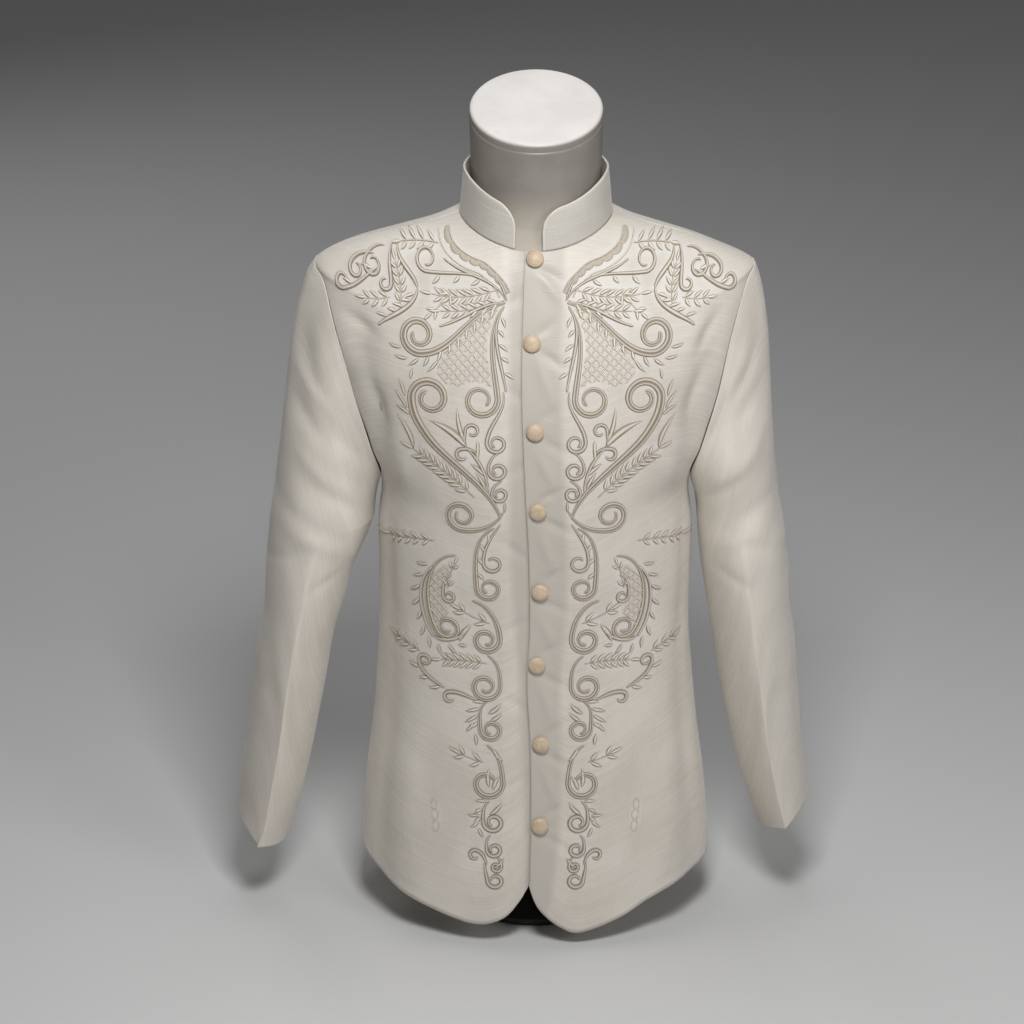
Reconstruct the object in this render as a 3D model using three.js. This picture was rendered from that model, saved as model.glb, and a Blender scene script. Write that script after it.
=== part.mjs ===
// A barong coat, buttoned up to its standing collar, on a limbless dress form with a low steel stand.
// Millimetres, +Z up, front towards -Y, the wearer's left at +X.
// The origin is the centre of the stand's underside. Each piece that is cut and sewn on is a mesh of its own.
import * as THREE from "three";

// ---------------------------------------------------------------- driving dimensions
const WALL = 1.5; // jusi cloth with its lining
const COLLAR_WALL = 2.2; // collar with its stiffener
const SEAM_GAP = 0.3; // between two pieces that are sewn together
const LAP_CLEARANCE = 0.6; // between the two fronts where they lap
const FORM_CLEARANCE = 8; // from the cloth's outer face to the form

const COLLAR_HEIGHT = { front: 39, back: 46 };
const COLLAR_CORNER = { start: 19, reach: 20 }; // height of the straight front edge, and the rounding's reach
const COLLAR_END = { left: 7, right: -22 }; // x of the collar's two front ends
const COLLAR_LEAN = 4; // how far the top edge leans in

const BUTTON_RADIUS = 8.8;
const BUTTON_HEIGHT = 5.5;

const NECK = { halfWidth: 65, halfDepth: 62, middleY: -3, flare: 1.5 };
const NECK_TOP = { z: 853.5, slope: 19.5 }; // the neck is cut off on a slope, lower at the front
const CAP = { overhang: 0.9, thickness: 9, edge: 4 };
const TORSO_END = 85; // height of the torso's flat underside
const PLATE = { radius: 90, thickness: 8, edge: 2 };
const POST_RADIUS = 14;

// ---------------------------------------------------------------- mesh counts
const FRONT_COLUMNS = 15;
const BACK_COLUMNS = 24;
const ROWS = { skirt: 12, armhole: 10, shoulder: 5 };
const SLEEVE_HEAD_ROWS = 8;
const COLLAR_COLUMNS = 44;
const COLLAR_ROWS = 3;
const FORM_COLUMNS = 32;
const ROUND = 32;
const BUTTON_ROUND = 16;

// ---------------------------------------------------------------- tables
const table = (columns, rows) =>
  rows.map((row) => Object.fromEntries(columns.map((name, i) => [name, row[i]])));

// The coat's body, section by section, from under the hem to the neckline. z and halfWidth are at the side;
// square is the exponent of the rounded outline; the drops lower a section at its front and back middle.
const BODY = table(
  ["z", "halfWidth", "front", "back", "square", "frontDrop", "backDrop"],
  [
    [-10, 187, 138, 128, 2.35, 0, 0],
    [58, 184, 136, 125, 2.35, 0, 0], // side ends of the hem
    [110, 180.5, 133, 121, 2.35, 0, 0],
    [157, 175.5, 130, 116, 2.35, 0, 0],
    [205, 169.5, 127, 110, 2.35, 0, 0],
    [255, 165, 124, 104, 2.35, 0, 0],
    [310, 161.5, 121.5, 99, 2.35, 0, 0], // waist
    [370, 161, 121.5, 99, 2.35, 0, 0],
    [425, 161, 125, 105, 2.35, 0, 0],
    [476, 157, 129, 113, 2.3, 2, 1], // underarm
    [522, 176, 130, 118, 2.3, 8, 4],
    [570, 194, 128, 118, 2.3, 17, 9],
    [620, 207, 123, 113, 2.2, 28, 15],
    [664, 216, 116, 105, 2.05, 40, 21],
    [693, 219, 110.2, 98, 1.88, 49, 24],
    [704, 217, 107.8, 94, 1.8, 52, 24], // shoulder point
    [721, 180, 100.6, 88, 1.84, 46, 20],
    [733.5, 141, 93.5, 82, 1.92, 37, 13],
    [743, 105, 86, 76, 2, 26, 3],
    [753, 76.5, 78, 70, 2.05, 19, -15], // neckline
  ],
);
const UNDERARM_ROW = 9;
const SHOULDER_ROW = 15;
const NECK_ROW = BODY.length - 1;
const ARMHOLE = { frontReach: 24.5, backReach: 27 }; // degrees round from the side, at mid height

// Soft hollows (depth below 0) and ridges of the worn cloth. angle is in degrees from the side seam, below 0
// towards the front; lean turns the fold by that many degrees for each millimetre of height.
const FOLDS = table(
  ["side", "z", "angle", "tall", "wide", "lean", "depth"],
  [
    [-1, 712, 6, 16, 50, 0, 4], // the fuller right shoulder
    [-1, 645, -15, 36, 14, 0, 6],
    [-1, 640, -36, 26, 8, 0, -4.5],
    [-1, 562, -35, 36, 8, -0.12, -6],
    [-1, 520, -42, 40, 6, -0.1, 2],
    [1, 632, -35, 34, 7, 0, -4],
    [1, 562, -36, 30, 8, -0.1, -6],
    [1, 520, -41, 36, 6, -0.1, 2],
    [-1, 372, -24, 90, 7, 0.02, -3.5],
    [-1, 330, -10, 120, 6, 0, 1.5],
    [1, 360, -22, 90, 7, 0.03, -3.5],
    [1, 300, -4, 90, 7, 0, -2],
    [-1, 130, -28, 80, 8, 0.03, -4],
    [-1, 110, -46, 90, 10, 0.02, 3],
    [1, 150, -26, 90, 8, 0.03, -4],
    [1, 120, -44, 90, 10, 0, 3],
    [-1, 300, 34, 110, 9, 0, -4],
    [-1, 130, 52, 110, 11, 0, 4],
    [1, 290, 36, 110, 9, 0, -4],
    [1, 140, 50, 110, 11, 0, 4],
    [-1, 585, 52, 60, 10, 0.1, -4],
    [1, 590, 50, 60, 10, 0.1, -4],
    [-1, 250, 74, 120, 8, 0, -2.5],
    [1, 230, 78, 120, 8, 0, -2.5],
  ],
);

// Height of the hem by the distance x from the middle, with the fronts' lower corners rounded off. The
// fronts' distances are below 0 past the middle, where they lap.
const HEM = {
  left: table(
    ["x", "z"],
    [[-7, 70], [0, 49], [10, 35], [26, 22], [46, 15.5], [88, 29], [119, 45], [158, 57], [190, 61]],
  ),
  right: table(
    ["x", "z"],
    [[-7, 106], [0, 82], [8, 67], [16, 51], [31, 33], [56, 24], [88, 30], [140, 48], [190, 74]],
  ),
  back: table(["x", "z"], [[0, 22], [30, 20], [70, 24], [110, 33], [150, 50], [190, 68]]),
};

// The fronts' closing edges: how far each reaches over the middle, by height.
const LAP = table(
  ["z", "over", "under"],
  [
    [0, 6.5, 4],
    [60, 6.5, 4],
    [130, 5, 11],
    [215, 5.5, 13],
    [290, 9, 13],
    [350, 6.5, 13],
    [430, 7.5, 13],
    [500, 11, 13],
    [590, 14.5, 13],
    [660, 14, 13],
    [740, 11, 13],
  ],
);
// x where the lower front starts to dip under the upper one, and where it is fully under.
const UNDERLAP = { start: 36, full: 16 };

// Buttons down the middle: height and place to the side.
const BUTTONS = table(
  ["z", "x"],
  [
    [727.5, -1.5],
    [649, -4.4],
    [563, -1.3],
    [480, 1.8],
    [391, 4],
    [311, 1.2],
    [225, 5.4],
    [136, 4.6],
  ],
);

// The hanging sleeves below their heads. inner and outer are x from the middle, halfDepth is front to back,
// crease is 1 for a round section and 2 for one pressed to a crease at front and back.
const SLEEVE_COLUMNS = ["z", "inner", "outer", "halfDepth", "crease", "middleY"];
const SLEEVES = {
  right: {
    side: -1,
    head: { out: 0.125, down: 0.19 }, // how the sleeve leaves the shoulder
    hem: { outer: 18, inner: -18, front: -8, back: 4 }, // how far the hem stands above its middle height
    sections: table(SLEEVE_COLUMNS, [
      [430, 165, 273, 64, 1, 0],
      [400, 176.5, 276, 65, 1.05, -1],
      [374, 188, 278.5, 66, 1.15, -2],
      [338, 198, 282, 66, 1.3, -3],
      [300, 209, 288, 65, 1.45, -4],
      [260, 216, 294, 64, 1.6, -4],
      [220, 224, 298.5, 62.5, 1.7, -4],
      [180, 232.5, 303, 61, 1.8, -4],
      [145, 241, 308.5, 60, 1.8, -4],
      [112, 251, 311.5, 58.5, 1.85, -4],
      [85, 262, 314.5, 57.5, 1.9, -4],
    ]),
  },
  left: {
    side: 1,
    head: { out: 0.09, down: 0.19 },
    hem: { outer: 20, inner: -15, front: -3, back: 6 },
    sections: table(SLEEVE_COLUMNS, [
      [430, 166, 254, 66, 1, 0],
      [400, 168.5, 258, 67, 1.05, -1],
      [370, 172, 262.5, 67, 1.15, -2],
      [330, 178.5, 266.5, 66.5, 1.3, -3],
      [290, 185.5, 271, 65.5, 1.45, -4],
      [250, 193, 274.5, 64, 1.6, -4],
      [210, 200.5, 278, 62.5, 1.7, -4],
      [172, 209.5, 280.5, 61, 1.8, -4],
      [145, 218, 284, 59.5, 1.8, -4],
      [122, 227, 286.5, 58.5, 1.85, -4],
      [102, 235.5, 289.5, 57.5, 1.9, -4],
    ]),
  },
};
// Soft hollows and ridges of the sleeves, by height and degrees round from the side next to the body.
const SLEEVE_FOLDS = table(
  ["side", "z", "angle", "tall", "wide", "lean", "depth"],
  [
    [-1, 698, 180, 14, 60, 0, 3],
    [-1, 545, 105, 40, 40, 0.3, -3.5],
    [-1, 478, 75, 30, 40, 0.5, -4],
    [-1, 440, 110, 26, 50, 0.4, 3],
    [1, 560, 100, 40, 40, 0.3, -3.5],
    [1, 500, 70, 26, 40, 0.5, 3],
    [1, 455, 85, 28, 45, 0.4, -4],
    [1, 405, 120, 24, 50, 0.4, 2.5],
    [-1, 450, 245, 28, 50, -0.4, -4],
    [1, 445, 245, 28, 50, -0.4, -4],
    [-1, 330, 200, 30, 40, 0, -2.5],
    [1, 335, 200, 30, 40, 0, -2.5],
  ],
);

// The main corded scrolls of one front, on a chart of the front seen straight on: x is the distance
// from the middle, z the height. A stem leaves its root at bow degrees from the straight way, meets
// the curl's circle late degrees past the tangent, and curls in by hand: 1 turns from +x to +z.
// The cord starts this far along the stem.
const SCROLLS = table(
  ["name", "rootX", "rootZ", "x", "z", "radius", "hand", "turns", "bow", "late", "width", "start"],
  [
    ["chest", 30, 686, 116, 653, 17.3, 1, 1.35, 25, 30, 6.6, 9],
    ["middle", 31, 684, 55, 594, 17, 1, 1.15, 35, -10, 5.4, 9],
    ["heart", 35, 471, 105, 593, 18.6, 1, 1.2, 20, 35, 7.6, 12],
    ["waist", 32, 480, 74, 472, 15.5, 1, 1.35, -40, 40, 5.2, 14],
    ["crescent", 80, 427, 89, 347, 12.6, -1, 1.3, 75, 50, 5, 0],
    ["skirt", 49, 320, 51, 286, 15, 1, 1.4, -45, 25, 5.2, 0],
  ],
);
const CORD = { gap: 0.5, rise: 1.8, step: 6, turn: 16 }; // gap to the cloth, height, steps in mm and degrees
const CURL_RATE = 0.5; // share of the radius lost in one turn
const STEM_HANDLE = 0.36; // share of the straight way

const COLOURS = {
  cloth: { color: 0xd9d4c8, roughness: 0.62 },
  collar: { color: 0xcfccc4, roughness: 0.55 },
  button: { color: 0xdcc3a4, roughness: 0.45 },
  thread: { color: 0xb3a48e, roughness: 0.55 },
  form: { color: 0xd8d0c8, roughness: 0.5 },
  steel: { color: 0x1b1b1d, roughness: 0.45, metalness: 0.6 },
};

// ---------------------------------------------------------------- helpers
const radians = THREE.MathUtils.degToRad;
const { lerp, smoothstep } = THREE.MathUtils;
const bump = (distance, size) => Math.exp(-((distance / size) ** 2));
const signedPower = (value, power) => Math.sign(value) * Math.abs(value) ** power;

// One column of a table at a fractional row, on a Catmull-Rom curve through the rows.
function along(rows, row, column) {
  const last = rows.length - 1;
  const i = Math.min(Math.max(Math.floor(row), 0), last - 1);
  const t = row - i;
  const at = (k) => rows[Math.min(Math.max(k, 0), last)][column];
  const [a, b, c, d] = [at(i - 1), at(i), at(i + 1), at(i + 2)];
  return b + 0.5 * t * (c - a + t * (2 * a - 5 * b + 4 * c - d + t * (3 * (b - c) + d - a)));
}

// The fractional row at which a rising column reaches a value.
function rowAt(rows, column, value) {
  let low = 0;
  let high = rows.length - 1;
  while (high - low > 1e-4) {
    const middle = (low + high) / 2;
    if (along(rows, middle, column) < value) low = middle;
    else high = middle;
  }
  return (low + high) / 2;
}

function named(name, geometry, look) {
  const mesh = new THREE.Mesh(geometry, new THREE.MeshStandardMaterial(look));
  mesh.name = name;
  return mesh;
}

// A closed solid from points and triangles, turned to face outwards.
function closedSolid(points, triangles) {
  let volume = 0;
  for (const [a, b, c] of triangles) {
    volume += points[a].dot(new THREE.Vector3().crossVectors(points[b], points[c]));
  }
  const faces = volume < 0 ? triangles.map(([a, b, c]) => [a, c, b]) : triangles;
  const geometry = new THREE.BufferGeometry().setFromPoints(points);
  geometry.setIndex(faces.flat());
  return geometry;
}

// A cloth wall on a grid of {outer, inner} points: both faces and the rim, as one closed solid.
// With tube set, each row joins up with its own start.
function clothWall(grid, tube = false) {
  const rows = grid.length;
  const columns = grid[0].length;
  const points = grid.flat().flatMap((cell) => [cell.outer, cell.inner]);
  const outer = (j, i) => 2 * (j * columns + (i % columns));
  const inner = (j, i) => outer(j, i) + 1;
  const triangles = [];
  const quad = (a, b, c, d) => triangles.push([a, b, c], [a, c, d]);
  const spans = tube ? columns : columns - 1;
  for (let j = 0; j < rows - 1; j++) {
    for (let i = 0; i < spans; i++) {
      quad(outer(j, i), outer(j, i + 1), outer(j + 1, i + 1), outer(j + 1, i));
      quad(inner(j, i), inner(j + 1, i), inner(j + 1, i + 1), inner(j, i + 1));
    }
  }
  for (let i = 0; i < spans; i++) {
    // A tube's first rim is split into triangles the same way as the two armhole edges that it meets.
    const corners = [outer(0, i), inner(0, i), inner(0, i + 1), outer(0, i + 1)];
    if (tube && i >= spans / 2) corners.push(corners.shift());
    quad(...corners);
    quad(outer(rows - 1, i), outer(rows - 1, i + 1), inner(rows - 1, i + 1), inner(rows - 1, i));
  }
  for (let j = 0; j < rows - 1 && !tube; j++) {
    quad(outer(j, 0), outer(j + 1, 0), inner(j + 1, 0), inner(j, 0));
    quad(outer(j, spans), inner(j, spans), inner(j + 1, spans), outer(j + 1, spans));
  }
  return closedSolid(points, triangles);
}

// A solid from closed rings of points, with a flat fan over the first and the last.
function ringSolid(rings) {
  const count = rings[0].length;
  const points = rings.flat();
  const triangles = [];
  for (let j = 0; j < rings.length - 1; j++) {
    for (let i = 0; i < count; i++) {
      const [a, b] = [j * count + i, j * count + ((i + 1) % count)];
      triangles.push([a, b, b + count], [a, b + count, a + count]);
    }
  }
  for (const [ring, start] of [[rings[0], 0], [rings.at(-1), points.length - count]]) {
    const middle = ring.reduce((sum, p) => sum.add(p), new THREE.Vector3()).divideScalar(count);
    const centre = points.push(middle) - 1;
    for (let i = 0; i < count; i++) {
      const pair = [start + i, start + ((i + 1) % count)];
      triangles.push(start ? [centre, ...pair] : [centre, ...pair.reverse()]);
    }
  }
  return closedSolid(points, triangles);
}

// ---------------------------------------------------------------- the body's surface
// The smooth outer form of the worn coat at a fractional row of BODY, and at an angle round from the side
// seam at +X: -90 degrees is the front middle. Both halves are the same here.
function bodyForm(row, angle) {
  const at = (column) => along(BODY, row, column);
  const [cosine, sine] = [Math.cos(angle), Math.sin(angle)];
  const power = 2 / at("square");
  const [depth, drop] = sine < 0 ? [at("front"), at("frontDrop")] : [at("back"), at("backDrop")];
  return new THREE.Vector3(
    at("halfWidth") * signedPower(cosine, power),
    depth * signedPower(sine, power),
    at("z") - drop * sine * sine,
  );
}

// The outward direction of that surface, from its two slopes.
function bodyNormal(row, angle) {
  const step = 0.01;
  const round = bodyForm(row, angle + step).sub(bodyForm(row, angle - step));
  const up = bodyForm(Math.min(row + step, NECK_ROW), angle).sub(bodyForm(row - step, angle));
  return round.cross(up).normalize();
}

function foldDepth(side, z, angle) {
  const turn = THREE.MathUtils.radToDeg(angle);
  return FOLDS.filter((fold) => fold.side === side).reduce((sum, fold) => {
    const across = turn - fold.angle - fold.lean * (z - fold.z);
    return sum + fold.depth * bump(z - fold.z, fold.tall) * bump(across, fold.wide);
  }, 0);
}

// A point of the coat's wall on one half (side 1 is the wearer's left), sunk by inset: its two faces.
function bodyCell(side, row, angle, inset = 0) {
  const point = bodyForm(row, angle);
  const normal = bodyNormal(row, angle);
  const outer = point.clone().addScaledVector(normal, foldDepth(side, point.z, angle) - inset);
  const inner = outer.clone().addScaledVector(normal, -WALL);
  for (const p of [outer, inner]) p.x *= side;
  return { outer, inner };
}

// How far the armhole's edge lies from the side seam at a row: 0 outside the armhole's rows.
// It is full and round below, and closes more gently towards the shoulder.
function armholeAngle(row, reach) {
  const place = (2 * (row - UNDERARM_ROW)) / (SHOULDER_ROW - UNDERARM_ROW) - 1;
  const [square, close] = place < 0 ? [2.6, 1 / 2.6] : [1.9, 0.8];
  return radians(reach) * Math.max(0, 1 - Math.abs(place) ** square) ** close;
}

// Rows of the panels from the hem to the neckline; hemRow is where this column starts.
function panelRows(hemRow) {
  const rows = [];
  for (let j = 0; j < ROWS.skirt; j++) rows.push(lerp(hemRow, UNDERARM_ROW, j / ROWS.skirt));
  for (let j = 0; j < ROWS.armhole; j++) {
    const eased = (1 - Math.cos((Math.PI * j) / ROWS.armhole)) / 2;
    rows.push(lerp(UNDERARM_ROW, SHOULDER_ROW, eased));
  }
  for (let j = 0; j <= ROWS.shoulder; j++) rows.push(lerp(SHOULDER_ROW, NECK_ROW, j / ROWS.shoulder));
  return rows;
}

const hemRow = (hem, x) => rowAt(BODY, "z", along(hem, rowAt(hem, "x", x), "z"));

// The angle on the front at which the surface is this far over the middle, on the other half.
function lapAngle(row, over) {
  const share = (over / along(BODY, row, "halfWidth")) ** (along(BODY, row, "square") / 2);
  return -Math.PI / 2 - Math.asin(share);
}

const lapAt = (z, column) => along(LAP, rowAt(LAP, "z", z), column);

// One front: from its closing edge round to the side seam, the armhole and the shoulder seam.
function frontGrid(side) {
  const [hem, column] = side > 0 ? [HEM.left, "over"] : [HEM.right, "under"];
  const columns = [];
  for (let i = 0; i <= FRONT_COLUMNS; i++) {
    const share = (i / FRONT_COLUMNS) ** 1.25;
    const turn = lerp(lapAngle(1, lapAt(0, column)), 0, share);
    columns.push(
      panelRows(hemRow(hem, bodyForm(1, turn).x)).map((row) => {
        const height = along(BODY, row, "z") - along(BODY, row, "frontDrop");
        const start = lapAngle(row, lapAt(height, column));
        const end = -armholeAngle(row, ARMHOLE.frontReach);
        const angle = lerp(start, end, share);
        const middleward = bodyForm(row, angle).x;
        const under = 1 - smoothstep(middleward, UNDERLAP.full, UNDERLAP.start);
        const cell = bodyCell(side, row, angle, side < 0 ? under * (WALL + LAP_CLEARANCE) : 0);
        if (i === FRONT_COLUMNS) for (const p of [cell.outer, cell.inner]) p.y -= SEAM_GAP / 2;
        return cell;
      }),
    );
  }
  return columns[0].map((_, j) => columns.map((cells) => cells[j]));
}

// The back in one piece, from the wearer's right side seam to the left.
function backGrid() {
  const columns = [];
  for (let i = 0; i <= BACK_COLUMNS; i++) {
    const share = 2 * (i / BACK_COLUMNS) - 1; // -1 at the right seam, 1 at the left
    const side = share < 0 ? -1 : 1;
    const { x } = bodyForm(1, lerp(Math.PI / 2, 0, Math.abs(share)));
    columns.push(
      panelRows(hemRow(HEM.back, x)).map((row) => {
        const end = armholeAngle(row, ARMHOLE.backReach);
        const cell = bodyCell(side, row, lerp(Math.PI / 2, end, Math.abs(share)));
        if (Math.abs(share) === 1) for (const p of [cell.outer, cell.inner]) p.y += SEAM_GAP / 2;
        return cell;
      }),
    );
  }
  return columns[0].map((_, j) => columns.map((cells) => cells[j]));
}

// ---------------------------------------------------------------- sleeves
// The armhole's edge as a closed loop of wall cells, as on the half at +X: from the underarm up the front to
// the shoulder, and down the back.
function armholeLoop(side) {
  const rows = panelRows(0).slice(ROWS.skirt, ROWS.skirt + ROWS.armhole + 1);
  const front = rows.map((row) => bodyCell(side, row, -armholeAngle(row, ARMHOLE.frontReach)));
  const back = rows.map((row) => bodyCell(side, row, armholeAngle(row, ARMHOLE.backReach)));
  const loop = [...front.slice(0, -1), ...back.slice(1).reverse()];
  for (const cell of loop) for (const p of [cell.outer, cell.inner]) p.x *= side;
  return loop;
}

// A point round a sleeve's section: turn 0 is next to the body, a quarter turn is the front.
function sleeveSection(section, turn) {
  const halfWidth = (section.outer - section.inner) / 2;
  const across = signedPower(Math.cos(turn), section.crease);
  return new THREE.Vector3(
    section.inner + halfWidth * (1 - across),
    section.middleY - section.halfDepth * Math.sin(turn),
    section.z,
  );
}

// The sleeve head: each line leaves the armhole outwards and down, and joins the first section from above,
// leaning in towards the shoulder on the outer side.
function headCurve(head, start, end, turn) {
  const length = start.distanceTo(end);
  const outerness = 0.5 - 0.5 * Math.cos(turn);
  const out = lerp(UNDERARM_OUT, head.out, outerness);
  const outward = new THREE.Vector3(out, 0, -head.down).multiplyScalar(length);
  const upward = new THREE.Vector3(-0.19 * outerness, 0, 1).multiplyScalar(0.36 * length);
  return new THREE.CubicBezierCurve3(start, start.clone().add(outward), end.clone().add(upward), end);
}

const SEAM_DIRECTION = new THREE.Vector3(0.965, 0, -0.26); // out of the armhole
const UNDERARM_GAP = 1.2;
const SHOULDER_GAP = 0.4;
const UNDERARM_OUT = 0.06;

function sleeveFold(side, z, turn) {
  const degrees = THREE.MathUtils.radToDeg(turn);
  return SLEEVE_FOLDS.filter((fold) => fold.side === side).reduce((sum, fold) => {
    const across = degrees - fold.angle - fold.lean * (z - fold.z);
    return sum + fold.depth * bump(z - fold.z, fold.tall) * bump(across, fold.wide);
  }, 0);
}

// Moves each point of a ring along the outward direction there. At a crease the move is lengthened, so that
// the wall keeps its thickness on both sides of it.
function movedRing(rings, j, distance) {
  const ring = rings[j];
  const count = ring.length;
  const [above, below] = [rings[Math.max(j - 1, 0)], rings[Math.min(j + 1, rings.length - 1)]];
  return ring.map((point, k) => {
    const down = below[k].clone().sub(above[k]);
    const before = down.clone().cross(point.clone().sub(ring[(k + count - 1) % count])).normalize();
    const after = down.clone().cross(ring[(k + 1) % count].clone().sub(point)).normalize();
    const outward = before.clone().add(after).normalize();
    const stretch = 1 / Math.max(0.4, outward.dot(before));
    return point.clone().addScaledVector(outward, distance(k) * stretch);
  });
}

function sleeveGrid({ side, head, hem, sections }) {
  const loop = armholeLoop(side);
  const turns = loop.map((_, k) => (2 * Math.PI * k) / loop.length);
  const upper = turns.map((turn) => smoothstep(-Math.cos(turn), -0.7, -0.1)); // 0 under the arm
  const starts = loop.map((cell, k) => {
    const gap = lerp(UNDERARM_GAP, SHOULDER_GAP, upper[k]);
    return cell.outer.clone().addScaledVector(SEAM_DIRECTION, gap);
  });
  const curves = starts.map((start, k) =>
    headCurve(head, start, sleeveSection(sections[0], turns[k]), turns[k]),
  );
  const rings = [];
  for (let j = 0; j < SLEEVE_HEAD_ROWS; j++) {
    const share = (j / SLEEVE_HEAD_ROWS) ** 1.25;
    rings.push(curves.map((curve) => curve.getPoint(share)));
  }
  sections.forEach((section, j) => {
    const share = smoothstep(j, sections.length - 5, sections.length - 1);
    rings.push(
      turns.map((turn) => {
        const across = signedPower(Math.cos(turn), section.crease);
        const middle = (turn < Math.PI ? hem.front : hem.back) * (1 - Math.abs(across));
        const rise = middle + Math.abs(across) * (across > 0 ? hem.inner : hem.outer);
        return sleeveSection(section, turn).add(new THREE.Vector3(0, 0, rise * share));
      }),
    );
  });
  const folded = rings.map((ring, j) =>
    movedRing(rings, j, (k) => (j ? sleeveFold(side, ring[k].z, turns[k]) : 0)),
  );
  return folded.map((ring, j) => {
    const inner = movedRing(folded, j, () => -WALL);
    if (j === 0) {
      // Above the underarm the sleeve's edge meets the armhole's edge face to face.
      inner.forEach((p, k) => p.lerp(starts[k].clone().sub(loop[k].outer).add(loop[k].inner), upper[k]));
    }
    return ring.map((outer, k) => {
      const cell = { outer: outer.clone(), inner: inner[k] };
      for (const p of [cell.outer, cell.inner]) p.x *= side;
      return cell;
    });
  });
}

// ---------------------------------------------------------------- collar and buttons
// The standing collar: a band on the neckline, open at the front, with rounded upper corners.
function collarGrid() {
  const ends = [COLLAR_END.left, COLLAR_END.right];
  const base = BODY[NECK_ROW];
  const angleAt = (x) => -Math.PI / 2 + Math.asin(x / base.halfWidth);
  const [from, to] = [angleAt(ends[0]), angleAt(ends[1]) + 2 * Math.PI];
  const columns = [];
  for (let i = 0; i <= COLLAR_COLUMNS; i++) {
    const t = i / COLLAR_COLUMNS;
    const eased = t - 0.55 * (Math.sin(2 * Math.PI * t) / (2 * Math.PI)); // closer together at the ends
    const angle = lerp(from, to, eased);
    const foot = bodyForm(NECK_ROW, angle);
    const outward = new THREE.Vector3(foot.x / base.halfWidth, foot.y / base.front, 0).normalize();
    const fromEnd = Math.min(eased, 1 - eased) * (to - from) * base.halfWidth;
    const rounding = Math.max(0, 1 - fromEnd / COLLAR_CORNER.reach);
    const full = lerp(COLLAR_HEIGHT.back, COLLAR_HEIGHT.front, Math.max(0, -Math.sin(angle)) ** 2);
    const height = lerp(COLLAR_CORNER.start, full, Math.sqrt(1 - rounding * rounding));
    columns.push(
      Array.from({ length: COLLAR_ROWS + 1 }, (_, j) => {
        const share = j / COLLAR_ROWS;
        const lean = (COLLAR_LEAN * share * height) / full;
        const outer = foot.clone().addScaledVector(outward, -lean);
        outer.z += SEAM_GAP + share * height;
        return { outer, inner: outer.clone().addScaledVector(outward, -COLLAR_WALL) };
      }),
    );
  }
  return columns[0].map((_, j) => columns.map((cells) => cells[j]));
}

// A covered button: a flat back and a low dome.
function buttonGeometry() {
  const profile = [
    new THREE.Vector2(0, 0),
    new THREE.Vector2(BUTTON_RADIUS * 0.8, 0),
    new THREE.Vector2(BUTTON_RADIUS, BUTTON_HEIGHT * 0.3),
    new THREE.Vector2(BUTTON_RADIUS * 0.86, BUTTON_HEIGHT * 0.72),
    new THREE.Vector2(BUTTON_RADIUS * 0.5, BUTTON_HEIGHT * 0.95),
    new THREE.Vector2(0, BUTTON_HEIGHT),
  ];
  return new THREE.LatheGeometry(profile, BUTTON_ROUND);
}

// Sets a button on the upper front at a height and a place to the side, facing out of the cloth.
function placedButton({ z, x }, index) {
  const halfWidthRow = (row) => along(BODY, row, "z") - along(BODY, row, "frontDrop");
  let row = 0;
  while (row < NECK_ROW && halfWidthRow(row) < z) row += 0.02;
  const halfWidth = along(BODY, row, "halfWidth");
  const turn = Math.asin((Math.abs(x) / halfWidth) ** (along(BODY, row, "square") / 2)) * Math.sign(x);
  const angle = -Math.PI / 2 + turn;
  const normal = bodyNormal(row, angle);
  const button = named(`button_${index + 1}`, buttonGeometry(), COLOURS.button);
  button.quaternion.setFromUnitVectors(new THREE.Vector3(0, 1, 0), normal);
  button.position.copy(bodyForm(row, angle)).addScaledVector(normal, SEAM_GAP + 0.3);
  return button;
}

// ---------------------------------------------------------------- embroidery
const heading = (degrees) => new THREE.Vector2(Math.cos(radians(degrees)), Math.sin(radians(degrees)));
const degreesOf = (step) => THREE.MathUtils.radToDeg(Math.atan2(step.y, step.x));

// A scroll's line on the chart: a stem that meets the curl's circle along the circle's own direction, then a
// spiral whose radius falls by the same share with each turn.
function scrollLine({ rootX, rootZ, x, z, radius, hand, turns, bow, late, start }) {
  const [root, centre] = [new THREE.Vector2(rootX, rootZ), new THREE.Vector2(x, z)];
  const away = root.clone().sub(centre);
  const opening = THREE.MathUtils.radToDeg(Math.acos(radius / away.length()));
  const entry = degreesOf(away) + hand * (opening + late);
  const meet = centre.clone().addScaledVector(heading(entry), radius);
  const straight = meet.clone().sub(root);
  const arm = STEM_HANDLE * straight.length();
  const leaving = root.clone().addScaledVector(heading(degreesOf(straight) + bow), arm);
  const arriving = meet.clone().addScaledVector(heading(entry + 90 * hand), -arm);
  const stem = new THREE.CubicBezierCurve(root, leaving, arriving, meet);
  const length = stem.getLength();
  const stemSteps = Math.ceil((length - start) / CORD.step);
  const line = [];
  for (let k = 0; k <= stemSteps; k++) line.push(stem.getPointAt(lerp(start / length, 1, k / stemSteps)));
  const curlSteps = Math.ceil((360 * turns) / CORD.turn);
  for (let k = 1; k <= curlSteps; k++) {
    const turned = (turns * k) / curlSteps;
    const reach = radius * (1 - CURL_RATE * turned);
    line.push(centre.clone().addScaledVector(heading(entry + hand * 360 * turned), reach));
  }
  return line;
}

// The outer facets of a front as triangles.
function frontFacets(side) {
  const grid = frontGrid(side);
  return grid.slice(1).flatMap((upper, j) =>
    upper.slice(1).flatMap((cell, i) => {
      const [a, b, c, d] = [grid[j][i], grid[j][i + 1], cell, upper[i]].map((corner) => corner.outer);
      return [new THREE.Triangle(a, b, c), new THREE.Triangle(a, c, d)];
    }),
  );
}

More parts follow.
